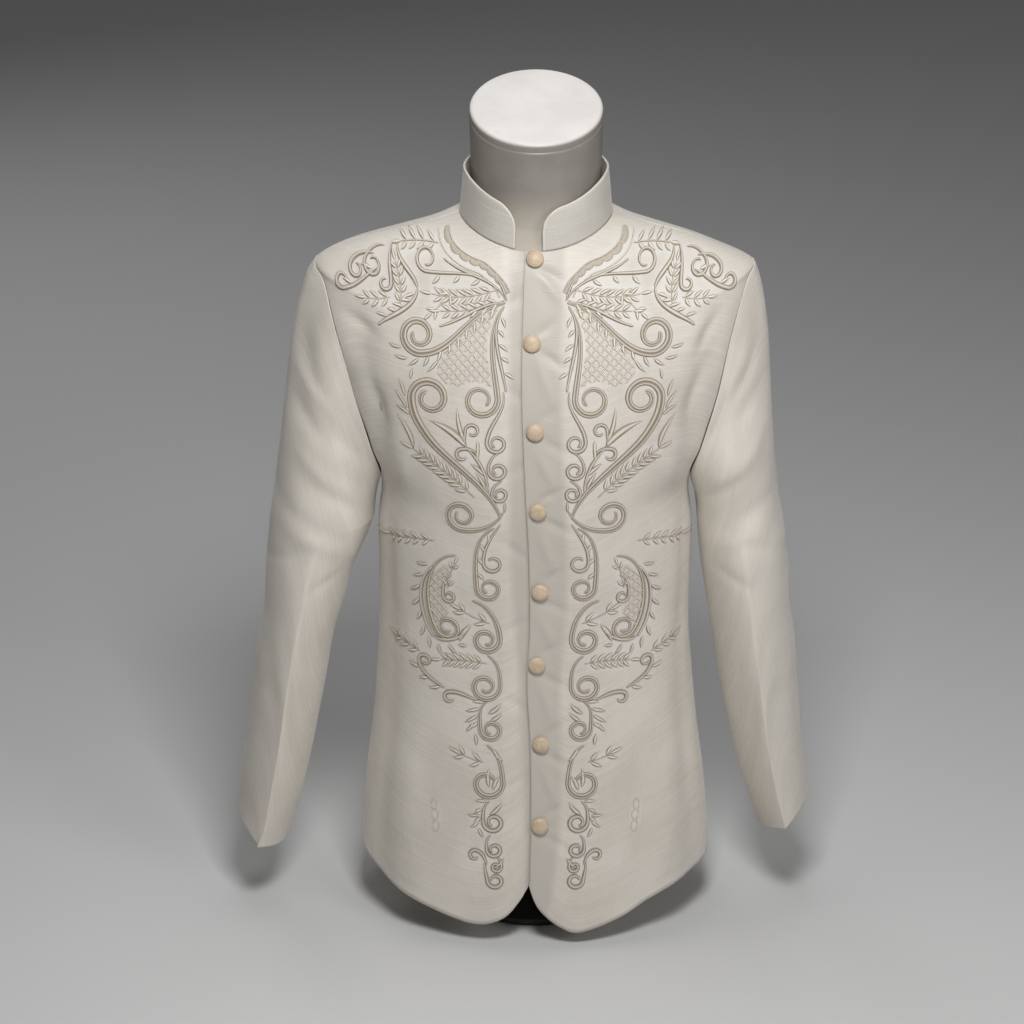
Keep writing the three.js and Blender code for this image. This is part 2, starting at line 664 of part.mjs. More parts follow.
// The point in front of a chart place, raised out of the facet that lies there.
function raisedPoint(facets, x, z, height) {
  const ray = new THREE.Ray(new THREE.Vector3(x, -400, z), new THREE.Vector3(0, 1, 0));
  const place = new THREE.Vector3();
  const facet = facets.find(({ a, b, c }) => ray.intersectTriangle(a, b, c, false, place));
  const normal = facet.getNormal(new THREE.Vector3());
  return place.addScaledVector(normal, -Math.sign(normal.y) * height);
}

// A raised cord of triangular section along a chart line. It swells from a thin root, and its feet
// stay clear of the cloth.
function cordGeometry(side, facets, scroll) {
  const line = scrollLine(scroll);
  const last = line.length - 1;
  const rings = line.map((place, k) => {
    const ahead = line[Math.min(k + 1, last)].clone().sub(line[Math.max(k - 1, 0)]).normalize();
    const sideways = new THREE.Vector2(-ahead.y, ahead.x);
    const share = 0.5 + 0.5 * Math.sin(Math.PI * Math.max(0.04, Math.min(0.96, k / last)) ** 0.85) ** 0.7;
    return [-1, 0, 1].map((across) => {
      const foot = place.clone().addScaledVector(sideways, (across * share * scroll.width) / 2);
      const height = across ? CORD.gap : CORD.gap + CORD.rise * share;
      return raisedPoint(facets, side * foot.x, foot.y, height);
    });
  });
  return ringSolid(rings);
}

function scrollCords(side, name) {
  const facets = frontFacets(side);
  return SCROLLS.map((scroll) =>
    named(`scroll_${name}_${scroll.name}`, cordGeometry(side, facets, scroll), COLOURS.thread),
  );
}

// ---------------------------------------------------------------- dress form and stand
const ring = (count, place) =>
  Array.from({ length: count }, (_, i) => place((2 * Math.PI * i) / count));

// The limbless torso with its neck: the coat's smooth form moved in, then a round neck up to its sloping top.
function torsoGeometry() {
  const rings = [];
  const first = rowAt(BODY, "z", TORSO_END);
  const steps = 20;
  for (let j = 0; j <= steps; j++) {
    const row = lerp(first, NECK_ROW - 0.15, j / steps);
    rings.push(
      ring(FORM_COLUMNS, (angle) => {
        const moved = bodyForm(row, angle).addScaledVector(bodyNormal(row, angle), -FORM_CLEARANCE);
        if (j === 0) moved.z = TORSO_END;
        return moved;
      }),
    );
  }
  const slope = Math.tan(radians(NECK_TOP.slope));
  const lift = NECK_TOP.z - 772;
  for (const share of [0, 1 / 3, 2 / 3, 1]) {
    const z = 772 + lift * share;
    rings.push(
      ring(FORM_COLUMNS, (angle) => {
        const x = (NECK.halfWidth + NECK.flare * share ** 2) * Math.cos(angle);
        const y = (NECK.halfDepth + NECK.flare * share ** 2) * Math.sin(angle);
        return new THREE.Vector3(x, NECK.middleY + y, z + slope * y);
      }),
    );
  }
  return ringSolid(rings);
}

// A round disc with softened edges, standing on z = 0.
function discGeometry({ radius, thickness, edge }) {
  const profile = [
    new THREE.Vector2(0, 0),
    new THREE.Vector2(radius - edge, 0),
    new THREE.Vector2(radius, edge),
    new THREE.Vector2(radius, thickness - edge),
    new THREE.Vector2(radius - edge, thickness),
    new THREE.Vector2(0, thickness),
  ];
  return new THREE.LatheGeometry(profile, ROUND).rotateX(Math.PI / 2);
}

// The lid on the neck: an oval plate a little wider than the neck, lying on its sloping top.
function neckCap() {
  const slope = radians(NECK_TOP.slope);
  const beyond = NECK.flare + CAP.overhang;
  const shape = { radius: NECK.halfWidth + beyond, ...CAP };
  const halfDepth = (NECK.halfDepth + beyond) / Math.cos(slope);
  const oval = discGeometry(shape).scale(1, halfDepth / shape.radius, 1);
  const cap = named("neck_cap", oval, COLOURS.form);
  cap.rotation.x = slope;
  cap.position.set(0, NECK.middleY, NECK_TOP.z + SEAM_GAP);
  return cap;
}

function stand() {
  const group = new THREE.Group();
  group.add(named("stand_plate", discGeometry(PLATE), COLOURS.steel));
  const height = TORSO_END - PLATE.thickness - 2 * SEAM_GAP;
  const post = new THREE.CylinderGeometry(POST_RADIUS, POST_RADIUS, height, ROUND);
  post.rotateX(Math.PI / 2);
  const placed = named("stand_post", post, COLOURS.steel);
  placed.position.z = PLATE.thickness + SEAM_GAP + height / 2;
  group.add(placed);
  return group;
}

// ---------------------------------------------------------------- the object
const coatOnForm = new THREE.Group();
coatOnForm.add(
  named("front_left", clothWall(frontGrid(1)), COLOURS.cloth),
  named("front_right", clothWall(frontGrid(-1)), COLOURS.cloth),
  named("back", clothWall(backGrid()), COLOURS.cloth),
  named("sleeve_left", clothWall(sleeveGrid(SLEEVES.left), true), COLOURS.cloth),
  named("sleeve_right", clothWall(sleeveGrid(SLEEVES.right), true), COLOURS.cloth),
  named("collar", clothWall(collarGrid()), COLOURS.collar),
  ...BUTTONS.map(placedButton),
  ...scrollCords(1, "left"),
  ...scrollCords(-1, "right"),
  named("form_torso", torsoGeometry(), COLOURS.form),
  neckCap(),
  stand(),
);

export default coatOnForm;
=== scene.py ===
"""A barong coat, buttoned up to its standing collar, on a limbless dress form with a low steel stand.

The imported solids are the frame. Each cloth piece is worked out again from the same sizes, finer and with the soft
creases of worn cloth, and stands for its solid. Shape sizes are in millimetres, and meshes are in metres.
The wearer's left is at +X and the front faces -Y; side is 1 on the wearer's left and -1 on the right.
"""

import math

import bmesh
import bpy
import numpy as np
from bpy.props import FloatProperty, FloatVectorProperty, PointerProperty
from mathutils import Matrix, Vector


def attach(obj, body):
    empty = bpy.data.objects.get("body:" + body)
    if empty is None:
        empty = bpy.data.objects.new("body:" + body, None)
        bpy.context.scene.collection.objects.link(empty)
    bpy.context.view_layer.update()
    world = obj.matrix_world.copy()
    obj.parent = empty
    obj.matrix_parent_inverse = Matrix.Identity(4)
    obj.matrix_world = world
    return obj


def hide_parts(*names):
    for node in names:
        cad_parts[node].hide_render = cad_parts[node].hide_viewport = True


bl_info = {
    "name": "Barong coat",
    "version": (1, 0, 0),
    "blender": (4, 5, 0),
    "location": "View3D > Sidebar > Barong",
    "description": "Builds an embroidered barong coat on a limbless dress form",
    "category": "Add Mesh",
}

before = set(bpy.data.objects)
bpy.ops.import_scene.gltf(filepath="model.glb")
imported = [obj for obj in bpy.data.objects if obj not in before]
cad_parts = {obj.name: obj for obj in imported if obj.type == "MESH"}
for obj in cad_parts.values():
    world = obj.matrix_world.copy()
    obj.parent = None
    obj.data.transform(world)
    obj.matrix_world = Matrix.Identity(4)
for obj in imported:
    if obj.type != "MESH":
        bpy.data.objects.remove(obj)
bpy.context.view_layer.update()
MM = 0.001


# ---------------------------------------------------------------- tables of the coat's sizes
def table(columns, rows):
    """Named columns of a short table, each an array down its rows."""
    values = np.array(rows, float)
    return {name: values[:, i] for i, name in enumerate(columns)}


WALL = 1.2
COLLAR_WALL = 2.0
SEAM_GAP = 0.3
LAP_CLEARANCE = 0.9
FORM_CLEARANCE = 8.0

BODY = table(
    ["z", "half_width", "front", "back", "square", "front_drop", "back_drop"],
    [
        [-10, 187, 138, 128, 2.35, 0, 0],
        [58, 184, 136, 125, 2.35, 0, 0],
        [110, 180.5, 133, 121, 2.35, 0, 0],
        [157, 175.5, 130, 116, 2.35, 0, 0],
        [205, 169.5, 127, 110, 2.35, 0, 0],
        [255, 165, 124, 104, 2.35, 0, 0],
        [310, 161.5, 121.5, 99, 2.35, 0, 0],  # waist
        [370, 161, 121.5, 99, 2.35, 0, 0],
        [425, 161, 125, 105, 2.35, 0, 0],
        [476, 157, 129, 113, 2.3, 2, 1],  # underarm
        [522, 176, 130, 118, 2.3, 8, 4],
        [570, 194, 128, 118, 2.3, 17, 9],
        [620, 207, 123, 113, 2.2, 28, 15],
        [664, 216, 116, 105, 2.05, 40, 21],
        [693, 219, 110.2, 98, 1.88, 49, 24],
        [704, 217, 107.8, 94, 1.8, 52, 24],  # shoulder point
        [721, 180, 100.6, 88, 1.84, 46, 20],
        [733.5, 141, 93.5, 82, 1.92, 37, 13],
        [743, 105, 86, 76, 2, 26, 3],
        [753, 76.5, 78, 70, 2.05, 19, -15],  # neckline
    ],
)
BODY["front_z"] = BODY["z"] - BODY["front_drop"]
UNDERARM_ROW = 9
SHOULDER_ROW = 15
NECK_ROW = 19
ARMHOLE_REACH = {"front": 24.5, "back": 27.0}

FOLD_COLUMNS = ["side", "z", "angle", "tall", "wide", "lean", "depth"]
FOLDS = table(
    FOLD_COLUMNS,
    [
        [-1, 712, 6, 16, 50, 0, 4],
        [-1, 645, -15, 36, 14, 0, 6],
        [-1, 640, -36, 26, 8, 0, -4.5],
        [-1, 562, -35, 36, 8, -0.12, -6],
        [-1, 520, -42, 40, 6, -0.1, 2],
        [1, 632, -35, 34, 7, 0, -4],
        [1, 562, -36, 30, 8, -0.1, -6],
        [1, 520, -41, 36, 6, -0.1, 2],
        [-1, 372, -24, 90, 7, 0.02, -3.5],
        [-1, 330, -10, 120, 6, 0, 1.5],
        [1, 360, -22, 90, 7, 0.03, -3.5],
        [1, 300, -4, 90, 7, 0, -2],
        [-1, 130, -28, 80, 8, 0.03, -4],
        [-1, 110, -46, 90, 10, 0.02, 3],
        [1, 150, -26, 90, 8, 0.03, -4],
        [1, 120, -44, 90, 10, 0, 3],
        [-1, 300, 34, 110, 9, 0, -4],
        [-1, 130, 52, 110, 11, 0, 4],
        [1, 290, 36, 110, 9, 0, -4],
        [1, 140, 50, 110, 11, 0, 4],
        [-1, 585, 52, 60, 10, 0.1, -4],
        [1, 590, 50, 60, 10, 0.1, -4],
        [-1, 250, 74, 120, 8, 0, -2.5],
        [1, 230, 78, 120, 8, 0, -2.5],
    ],
)

HEM_COLUMNS = ["x", "z"]
HEM = {
    "left": table(
        HEM_COLUMNS,
        [[-7, 70], [0, 49], [10, 35], [26, 22], [46, 15.5], [88, 29], [119, 45], [158, 57], [190, 61]],
    ),
    "right": table(
        HEM_COLUMNS,
        [[-7, 106], [0, 82], [8, 67], [16, 51], [31, 33], [56, 24], [88, 30], [140, 48], [190, 74]],
    ),
    "back": table(HEM_COLUMNS, [[0, 22], [30, 20], [70, 24], [110, 33], [150, 50], [190, 68]]),
}
LAP = table(
    ["z", "over", "under"],
    [
        [0, 6.5, 4],
        [60, 6.5, 4],
        [130, 5, 11],
        [215, 5.5, 13],
        [290, 9, 13],
        [350, 6.5, 13],
        [430, 7.5, 13],
        [500, 11, 13],
        [590, 14.5, 13],
        [660, 14, 13],
        [740, 11, 13],
    ],
)
UNDERLAP = {"start": 36, "full": 16}
BUTTONS = table(
    ["z", "x"],
    [
        [727.5, -1.5],
        [649, -4.4],
        [563, -1.3],
        [480, 1.8],
        [391, 4],
        [311, 1.2],
        [225, 5.4],
        [136, 4.6],
    ],
)

SLEEVE_COLUMNS = ["z", "inner", "outer", "half_depth", "crease", "middle_y"]
SLEEVES = {
    "right": {
        "side": -1,
        "head": {"out": 0.125, "down": 0.19},
        "hem": {"outer": 18, "inner": -18, "front": -8, "back": 4},
        "sections": table(
            SLEEVE_COLUMNS,
            [
                [430, 165, 273, 64, 1, 0],
                [400, 176.5, 276, 65, 1.05, -1],
                [374, 188, 278.5, 66, 1.15, -2],
                [338, 198, 282, 66, 1.3, -3],
                [300, 209, 288, 65, 1.45, -4],
                [260, 216, 294, 64, 1.6, -4],
                [220, 224, 298.5, 62.5, 1.7, -4],
                [180, 232.5, 303, 61, 1.8, -4],
                [145, 241, 308.5, 60, 1.8, -4],
                [112, 251, 311.5, 58.5, 1.85, -4],
                [85, 262, 314.5, 57.5, 1.9, -4],
            ],
        ),
    },
    "left": {
        "side": 1,
        "head": {"out": 0.09, "down": 0.19},
        "hem": {"outer": 20, "inner": -15, "front": -3, "back": 6},
        "sections": table(
            SLEEVE_COLUMNS,
            [
                [430, 166, 254, 66, 1, 0],
                [400, 168.5, 258, 67, 1.05, -1],
                [370, 172, 262.5, 67, 1.15, -2],
                [330, 178.5, 266.5, 66.5, 1.3, -3],
                [290, 185.5, 271, 65.5, 1.45, -4],
                [250, 193, 274.5, 64, 1.6, -4],
                [210, 200.5, 278, 62.5, 1.7, -4],
                [172, 209.5, 280.5, 61, 1.8, -4],
                [145, 218, 284, 59.5, 1.8, -4],
                [122, 227, 286.5, 58.5, 1.85, -4],
                [102, 235.5, 289.5, 57.5, 1.9, -4],
            ],
        ),
    },
}
SLEEVE_FOLDS = table(
    FOLD_COLUMNS,
    [
        [-1, 698, 180, 14, 60, 0, 3],
        [-1, 545, 105, 40, 40, 0.3, -3.5],
        [-1, 478, 75, 30, 40, 0.5, -4],
        [-1, 440, 110, 26, 50, 0.4, 3],
        [1, 560, 100, 40, 40, 0.3, -3.5],
        [1, 500, 70, 26, 40, 0.5, 3],
        [1, 455, 85, 28, 45, 0.4, -4],
        [1, 405, 120, 24, 50, 0.4, 2.5],
        [-1, 450, 245, 28, 50, -0.4, -4],
        [1, 445, 245, 28, 50, -0.4, -4],
        [-1, 330, 200, 30, 40, 0, -2.5],
        [1, 335, 200, 30, 40, 0, -2.5],
    ],
)
SEAM_DIRECTION = np.array([0.965, 0, -0.26])
UNDERARM_GAP = 1.2
SHOULDER_GAP = 0.4
UNDERARM_OUT = 0.06

COLLAR_HEIGHT = {"front": 39, "back": 46}
COLLAR_CORNER = {"start": 19, "reach": 20}
COLLAR_END = {"left": 7, "right": -22}
COLLAR_LEAN = 4

NECK = {"half_width": 65, "half_depth": 62, "middle_y": -3, "flare": 1.5}
NECK_TOP = {"z": 853.5, "slope": 19.5}
NECK_FOOT = 772
CAP = {"thickness": 9, "edge": 4}
TORSO_END = 85
PLATE = {"radius": 90, "thickness": 8, "edge": 2}
POST_RADIUS = 14

# Small soft creases of the worn coat. On the fronts and the back x is the distance from the middle towards that
# side; turn is the crease's direction in degrees from level, depth below 0 is a trough.
CREASE_COLUMNS = ["side", "x", "z", "turn", "long", "wide", "bend", "depth"]
FRONT_CREASES = table(
    CREASE_COLUMNS,
    [
        # pulls at the buttons, on the upper front
        [1, 12, 714, -24, 15, 4.5, 0, -1.8],
        [1, 14, 700, -52, 18, 5, 0.004, 1.4],
        [1, 8, 662, 38, 12, 4, 0, -1.4],
        [1, 16, 633, -34, 16, 4.5, 0, -1.9],
        [1, 8, 612, -70, 22, 5, 0.003, 1.3],
        [1, 12, 580, 30, 12, 4, 0, -1.8],
        [1, 17, 548, -30, 15, 4.5, 0, -2.1],
        [1, 9, 524, -62, 20, 5, 0, 1.6],
        [1, 14, 497, 28, 13, 4, 0, -1.9],
        [1, 20, 463, -32, 16, 4.5, 0, -1.9],
        [1, 10, 437, -74, 22, 5, 0.003, 1.4],
        [1, 16, 408, 34, 12, 4, 0, -1.8],
        [1, 19, 374, -28, 15, 4.5, 0, -1.9],
        [1, 11, 347, -66, 20, 5, 0, 1.4],
        [1, 14, 327, 30, 12, 4, 0, -1.9],
        [1, 17, 293, -30, 15, 4.5, 0, -1.9],
        [1, 12, 266, -72, 20, 5, -0.003, 1.4],
        [1, 19, 240, 34, 12, 4, 0, -1.9],
        [1, 21, 207, -34, 15, 4.5, 0, -2.1],
        [1, 14, 180, -70, 22, 5, 0, 1.4],
        [1, 18, 152, 30, 12, 4, 0, -1.8],
        [1, 20, 117, -36, 15, 4.5, 0, -1.6],
        # the lower front beside them
        [-1, 21, 690, -40, 14, 5, 0, -1.1],
        [-1, 22, 600, 34, 14, 5, 0, -1.3],
        [-1, 20, 523, -36, 14, 5, 0, -1.4],
        [-1, 22, 436, 40, 16, 5, 0, -1.3],
        [-1, 20, 352, -34, 14, 5, 0, -1.4],
        [-1, 21, 268, 36, 14, 5, 0, -1.4],
        [-1, 20, 182, -34, 14, 5, 0, -1.3],
        # drag lines from the armholes and towards the sides
        [-1, 128, 536, -58, 40, 9, 0.002, -1.8],
        [-1, 140, 498, -68, 46, 9, 0.001, 1.4],
        [-1, 146, 452, -80, 60, 8, 0.001, -1.6],
        [1, 126, 540, -60, 38, 9, 0.002, -1.8],
        [1, 140, 500, -70, 44, 9, 0.001, 1.4],
        [1, 148, 448, -82, 60, 8, 0.001, -1.5],
        [-1, 150, 236, -84, 70, 9, 0, -1.6],
        [1, 150, 250, -84, 70, 9, 0, -1.6],
        [-1, 112, 176, -80, 70, 13, 0.0008, -1.3],
        [1, 108, 168, -82, 70, 13, 0.0008, -1.3],
        [-1, 96, 376, -72, 44, 12, 0, -0.8],
        [1, 98, 352, -76, 44, 12, 0, -0.8],
        # hollows beside the armhole seams
        [-1, 160, 578, 75, 26, 8, 0, -3.6],
        [1, 158, 586, 75, 26, 8, 0, -3.6],
        [-1, 174, 656, 25, 16, 7, 0, -3],
        [1, 171, 648, 60, 22, 7, 0, -3],
    ],
)
BACK_CREASES = table(
    CREASE_COLUMNS,
    [
        [-1, 20, 640, 82, 70, 12, 0, 1.2],
        [1, 34, 560, 84, 80, 12, 0.0005, -1.6],
        [-1, 62, 520, 70, 60, 11, 0.001, -1.6],
        [1, 84, 470, 66, 54, 10, 0.001, 1.5],
        [-1, 30, 398, 12, 46, 8, 0.001, -1.7],
        [1, 26, 372, -9, 50, 8, 0.001, -1.8],
        [-1, 84, 356, 18, 44, 8, 0.001, 1.3],
        [1, 92, 392, -20, 42, 8, 0.001, -1.4],
        [-1, 70, 180, 84, 90, 14, 0, 2.2],
        [1, 44, 170, 86, 90, 14, 0, -2],
        [1, 118, 160, 80, 80, 12, 0, 2],
        [-1, 132, 440, 64, 50, 9, 0.002, -1.8],
        [1, 134, 446, 64, 50, 9, 0.002, -1.8],
    ],
)
# On the sleeves x is the angle in degrees round from next to the body, taken as 1 mm for each degree.
SLEEVE_CREASES = table(
    CREASE_COLUMNS,
    [
        [-1, 120, 610, 62, 44, 12, 0.002, -2.2],
        [-1, 92, 560, 48, 46, 9, 0.002, -2.7],
        [-1, 66, 520, 40, 40, 8, 0, -2.7],
        [-1, 96, 492, 34, 44, 8, 0.002, 2.4],
        [-1, 70, 462, 28, 36, 7, 0, -2.4],
        [-1, 116, 446, 24, 44, 8, 0, -2.5],
        [-1, 84, 416, 18, 38, 8, 0, 2.1],
        [-1, 128, 402, -16, 40, 8, 0, -1.8],
        [-1, 70, 372, -24, 34, 8, 0, -1.7],
        [1, 118, 616, 62, 44, 12, 0.002, -2.2],
        [1, 90, 574, 50, 44, 9, 0.002, -2.7],
        [1, 64, 536, 38, 40, 8, 0, -2.7],
        [1, 98, 506, 36, 44, 8, 0.002, 2.2],
        [1, 72, 478, 26, 36, 7, 0, -2.4],
        [1, 112, 454, 22, 44, 8, 0, -2.7],
        [1, 86, 424, 16, 38, 8, 0, 2.1],
        [1, 126, 410, -18, 40, 8, 0, -2],
        [1, 72, 380, -22, 34, 8, 0, -1.7],
        [-1, 250, 500, -38, 50, 10, 0, -3],
        [-1, 230, 452, -26, 46, 9, 0, 2.4],
        [-1, 262, 420, -20, 46, 9, 0, -2.7],
        [1, 248, 506, -38, 50, 10, 0, -3],
        [1, 232, 458, -26, 46, 9, 0, 2.4],
        [1, 262, 426, -20, 46, 9, 0, -2.7],
        [-1, 128, 262, 74, 50, 12, 0, -1.4],
        [-1, 58, 232, 78, 44, 12, 0, -1.2],
        [1, 124, 258, 76, 50, 12, 0, -1.4],
        [1, 58, 228, 78, 44, 12, 0, -1.2],
        [-1, 86, 640, 20, 16, 10, 0, -3.2],
        [-1, 104, 572, 44, 34, 7, 0, 3],
        [-1, 112, 545, 44, 34, 9, 0, -3],
        [1, 88, 632, 30, 16, 9, 0, -2.8],
        [1, 98, 598, 55, 30, 8, 0, 2.6],
        [1, 106, 560, 46, 34, 9, 0, -2.6],
    ],
)

# The embroidery of one front, in millimetres: x is the distance from the middle towards the side, z the height.
# The places, sizes and angles in these tables follow the photograph. They were read off it by eye and worked out
# by scratch scripts, which printed most of the rows.
# A scroll leaves its root at bow degrees from the straight way, meets its curl's circle late degrees past the
# tangent, and curls in by hand: 1 turns from +x to +z. Leaves stand on its left if counted above 0.
SCROLLS = table(
    ["root_x", "root_z", "x", "z", "radius", "hand", "turns", "bow", "late", "width", "ridges", "leaves"],
    [
        [47, 707, 108, 720, 10.5, 1, 1.05, 15, 0, 3.4, 1, -3],
        [142, 728, 149, 696, 6, 1, 0.8, 25, 0, 4.2, 1, 0],
        [150, 724, 161, 709, 9, -1, 0.95, 30, 30, 3.4, 1, 0],
        [160, 717, 178, 704, 6.5, -1, 0.85, 25, 40, 3.6, 1, 0],
        [157, 707, 192, 694, 6.6, 1, 0.85, 0, 15, 4.2, 1, 2],
        [30, 686, 116, 653, 17.3, 1, 1.35, 25, 30, 7.4, 2, -7],
        [31, 684, 55, 594, 17, 1, 1.15, 35, -10, 6, 2, 0],
        [33, 603, 39, 551, 9.8, -1, 1.2, -35, 15, 4.2, 1, 0],
        [35, 542, 38, 523, 9.4, -1, 1.2, 45, 40, 4, 1, 0],
        [33, 512, 36, 498, 8, -1, 1.15, 40, 45, 3.8, 1, 0],
        [35, 471, 105, 593, 18.6, 1, 1.2, 20, 35, 8.4, 2, 0],
        [32, 480, 74, 472, 15.5, 1, 1.35, -40, 40, 5.4, 2, 0],
        [69, 545, 63, 563, 7, 1, 0.9, -20, 5, 3.4, 1, 0],
        [59, 539, 73, 538, 6.2, -1, 0.65, 50, 40, 4, 1, 1],
        [41, 461, 47, 394, 12.5, -1, 1.2, 50, 20, 5.2, 2, -4],
        [35, 466, 43, 422, 9.5, -1, 0.9, 10, 25, 3.8, 1, 0],
        [80, 427, 89, 347, 12.6, -1, 1.3, 75, 50, 5.4, 2, 0],
        [84, 405, 87, 381, 6.5, -1, 1, 50, 25, 3.6, 1, 0],
        [64, 379, 50, 337, 13.8, 1, 1.3, -50, 35, 6, 2, 0],
        [49, 320, 51, 286, 15, 1, 1.4, -45, 25, 5.4, 2, 0],
        [60, 271, 87, 271, 5.8, -1, 0.65, 10, 30, 4.4, 1, 0],
        [92, 280, 112, 306, 6.4, 1, 0.95, -15, 45, 3.8, 1, -3],
        [48, 270, 45, 240, 11.3, -1, 1.25, 50, 20, 5.4, 2, 4],
        [50, 223, 49, 181, 15.8, 1, 1.15, -40, 20, 6, 2, 0],
        [46, 162, 43, 139, 10.3, -1, 1.2, 45, 25, 5, 1, 3],
        [45, 125, 42, 109, 8, -1, 1.15, 45, 20, 4.4, 1, 0],
        [50, 91, 62, 102, 5.6, -1, 0.7, 30, 55, 4.2, 1, 0],
        [40, 101, 40, 90, 5.4, 1, 1, -40, 30, 4, 1, 0],
        [52, 95, 41, 75, 8.2, -1, 1, 10, 0, 4.8, 1, 0],
    ],
)
# A stem leaves its root and meets its tip at these degrees from the straight way between them.
STEMS = table(
    ["root_x", "root_z", "tip_x", "tip_z", "leave", "arrive", "width", "leaves"],
    [
        [30, 687, 96, 662, 20, 5, 3.8, 0],
        [137, 727, 117, 695, 35, 20, 4.6, 0],
        [117, 696, 157, 658, -45, 0, 5, 5],
        [31, 683, 30, 602, 40, -5, 3.6, -5],
        [47, 500, 68, 545, 20, -22, 3.2, 0],
        [30, 689, 91, 722, 35, 5, 3, 0],
        [29, 688, 38, 708, 10, -15, 2.6, 0],
        [31, 490, 31, 479, 0, 0, 2.8, 0],
        [99, 416, 103, 334, 48, -38, 3.6, 0],
        [103, 335, 66, 352, 55, -45, 3.6, 0],
        [44, 89, 32, 100, 30, -20, 3.4, 0],
    ],
)
# A leaf alone bends to one side by this many degrees.
LEAVES = table(
    ["root_x", "root_z", "tip_x", "tip_z", "bend", "width"],
    [
        # beside the chest curl
        [133, 640, 146, 643, 16, 3.6],
        [127, 630, 140, 632, 16, 3.6],
        [116, 631, 127, 623, 12, 3.8],
        [106, 634, 112, 623, 10, 3.8],
        [97, 631, 108, 618, 10, 3.6],
        # beside and inside the big scroll
        [122, 538, 138, 573, -20, 5],
        [125, 574, 139, 582, -14, 3.4],
        [128, 580, 140, 597, -14, 3.4],
        [130, 592, 136, 609, -12, 3.4],
        [124, 610, 122, 621, 10, 3.2],
        [68, 545, 105, 570, -22, 8],
        [69, 549, 78, 586, 14, 5],
        [58, 532, 56, 551, 10, 4],
        [51, 517, 65, 529, -14, 4.6],
        [50, 502, 60, 520, -14, 4.4],
        # round the crescent
        [108, 413, 120, 412, 12, 3.4],
        [113, 401, 124, 397, 12, 3.6],
        [117, 387, 127, 380, 12, 4],
        [118, 372, 126, 363, 12, 4],
        [116, 359, 121, 348, 12, 3.8],
        [113, 344, 117, 331, 10, 3.8],
        [109, 333, 107, 320, 10, 3.8],
        [99, 327, 95, 316, -10, 3.8],
        [88, 329, 80, 319, -12, 3.8],
        [78, 330, 69, 329, -12, 3.6],
        [77, 333, 65, 353, 14, 6],
        # along the lower scrolls
        [60, 262, 71, 258, 12, 3.8],
        [61, 254, 72, 246, 12, 3.8],
        [63, 246, 71, 236, 12, 3.8],
        [60, 222, 62, 235, -12, 4],
        [48, 257, 35, 269, -16, 5],
        [46, 249, 34, 259, -14, 4.6],
        [43, 220, 33, 206, -18, 4.4],
        [47, 177, 47, 198, 16, 5],
        [44, 174, 36, 190, 14, 4.6],
        [57, 146, 69, 146, 12, 3.8],
        [57, 140, 67, 132, 12, 3.8],
        [58, 132, 53, 122, -12, 3.8],
        [47, 147, 34, 161, -16, 5],
    ],
)
# A spray is a bowed twig with pairs of leaves at this spread from it and one at its tip.
SPRAYS = table(
    ["root_x", "root_z", "tip_x", "tip_z", "bow", "pairs", "leaf", "spread", "width"],
    [
        [37, 699, 103, 691, 14, 7, 12.5, 34, 3.8],
        [31, 689, 95, 676, 10, 6, 12, 34, 3.8],
        [96, 733, 134, 729, -8, 4, 10, 38, 3.4],
        [61, 493, 123, 538, -8, 9, 13.5, 38, 3.8],
        [135, 677, 139, 715, -16, 5, 10, 36, 3.4],
        [144, 685, 169, 682, 10, 3, 11, 40, 3.6],
        [83, 695, 103, 674, 6, 2, 11, 40, 3.6],
        [49, 311, 96, 310, -8, 6, 12, 42, 3.8],
        [46, 355, 76, 368, 6, 2, 14, 30, 4.2],
        [117, 314, 141, 322, -6, 3, 11, 38, 3.6],
        [89, 389, 82, 417, 8, 2, 10, 36, 3.2],
        [53, 204, 76, 211, 8, 2, 14, 36, 4.2],
        [101, 440, 151, 428, -10, 5, 10, 38, 3.2],
    ],
)
# Open-work nets of thin cord fill these outlines.
NETS = [
    table(
        ["x", "z"],
        [
            [36, 684], [48, 682], [60, 674], [74, 660], [88, 643], [97, 630],
            [99, 619], [88, 608], [76, 606], [64, 611], [52, 610], [43, 605],
            [45, 622], [48, 636], [48, 652], [43, 668],
        ],
    ),
    table(
        ["x", "z"],
        [
            [105, 402], [94, 415], [84, 415], [85, 400], [93, 390], [93, 373],
            [85, 367], [93, 354], [99, 345], [107, 356], [111, 371], [110, 390],
        ],
    ),
]
NET_PITCH = 6.4
NET_SLANTS = (48, -44)  # degrees
THIN_CORD = 1.5  # width of the cord in nets, loops and beside the scallops
SCALLOP = 10  # length of one scallop of the neck trim
SCALLOP_DEPTH = 7
NECK_CORDS = (-0.4, 11)  # how far the two thin cords lie outwards of the neck trim's line
NECK_TRIM = table(
    ["x", "z"],
    [[87, 746], [84, 738], [76, 731], [65, 726], [51, 722], [40, 714], [31, 705], [26, 696]],
)
LOOPS = table(
    ["x", "z", "half_width", "half_height"],
    [[104, 152, 2.8, 6], [103, 141, 3.4, 5.5], [102, 129, 3.2, 6]],
)
CORD_RISE = 2.1
LEAF_RISE = 1.7
CURL_RATE = 0.5  # share of the radius lost in one turn
PLAIN_TONE, PALE_TONE = 0.45, 0.8


# ---------------------------------------------------------------- curves and surfaces
def bump(distance, size):
    """A bell curve: 1 at distance 0, about a third at distance = size."""
    return np.exp(-((distance / size) ** 2))


def smoothstep(value, low, high):
    """0 below low, 1 above high, and an S-shaped cubic between."""
    t = np.clip((value - low) / (high - low), 0, 1)
    return t * t * (3 - 2 * t)


def signed_power(value, power):
    return np.sign(value) * np.abs(value) ** power


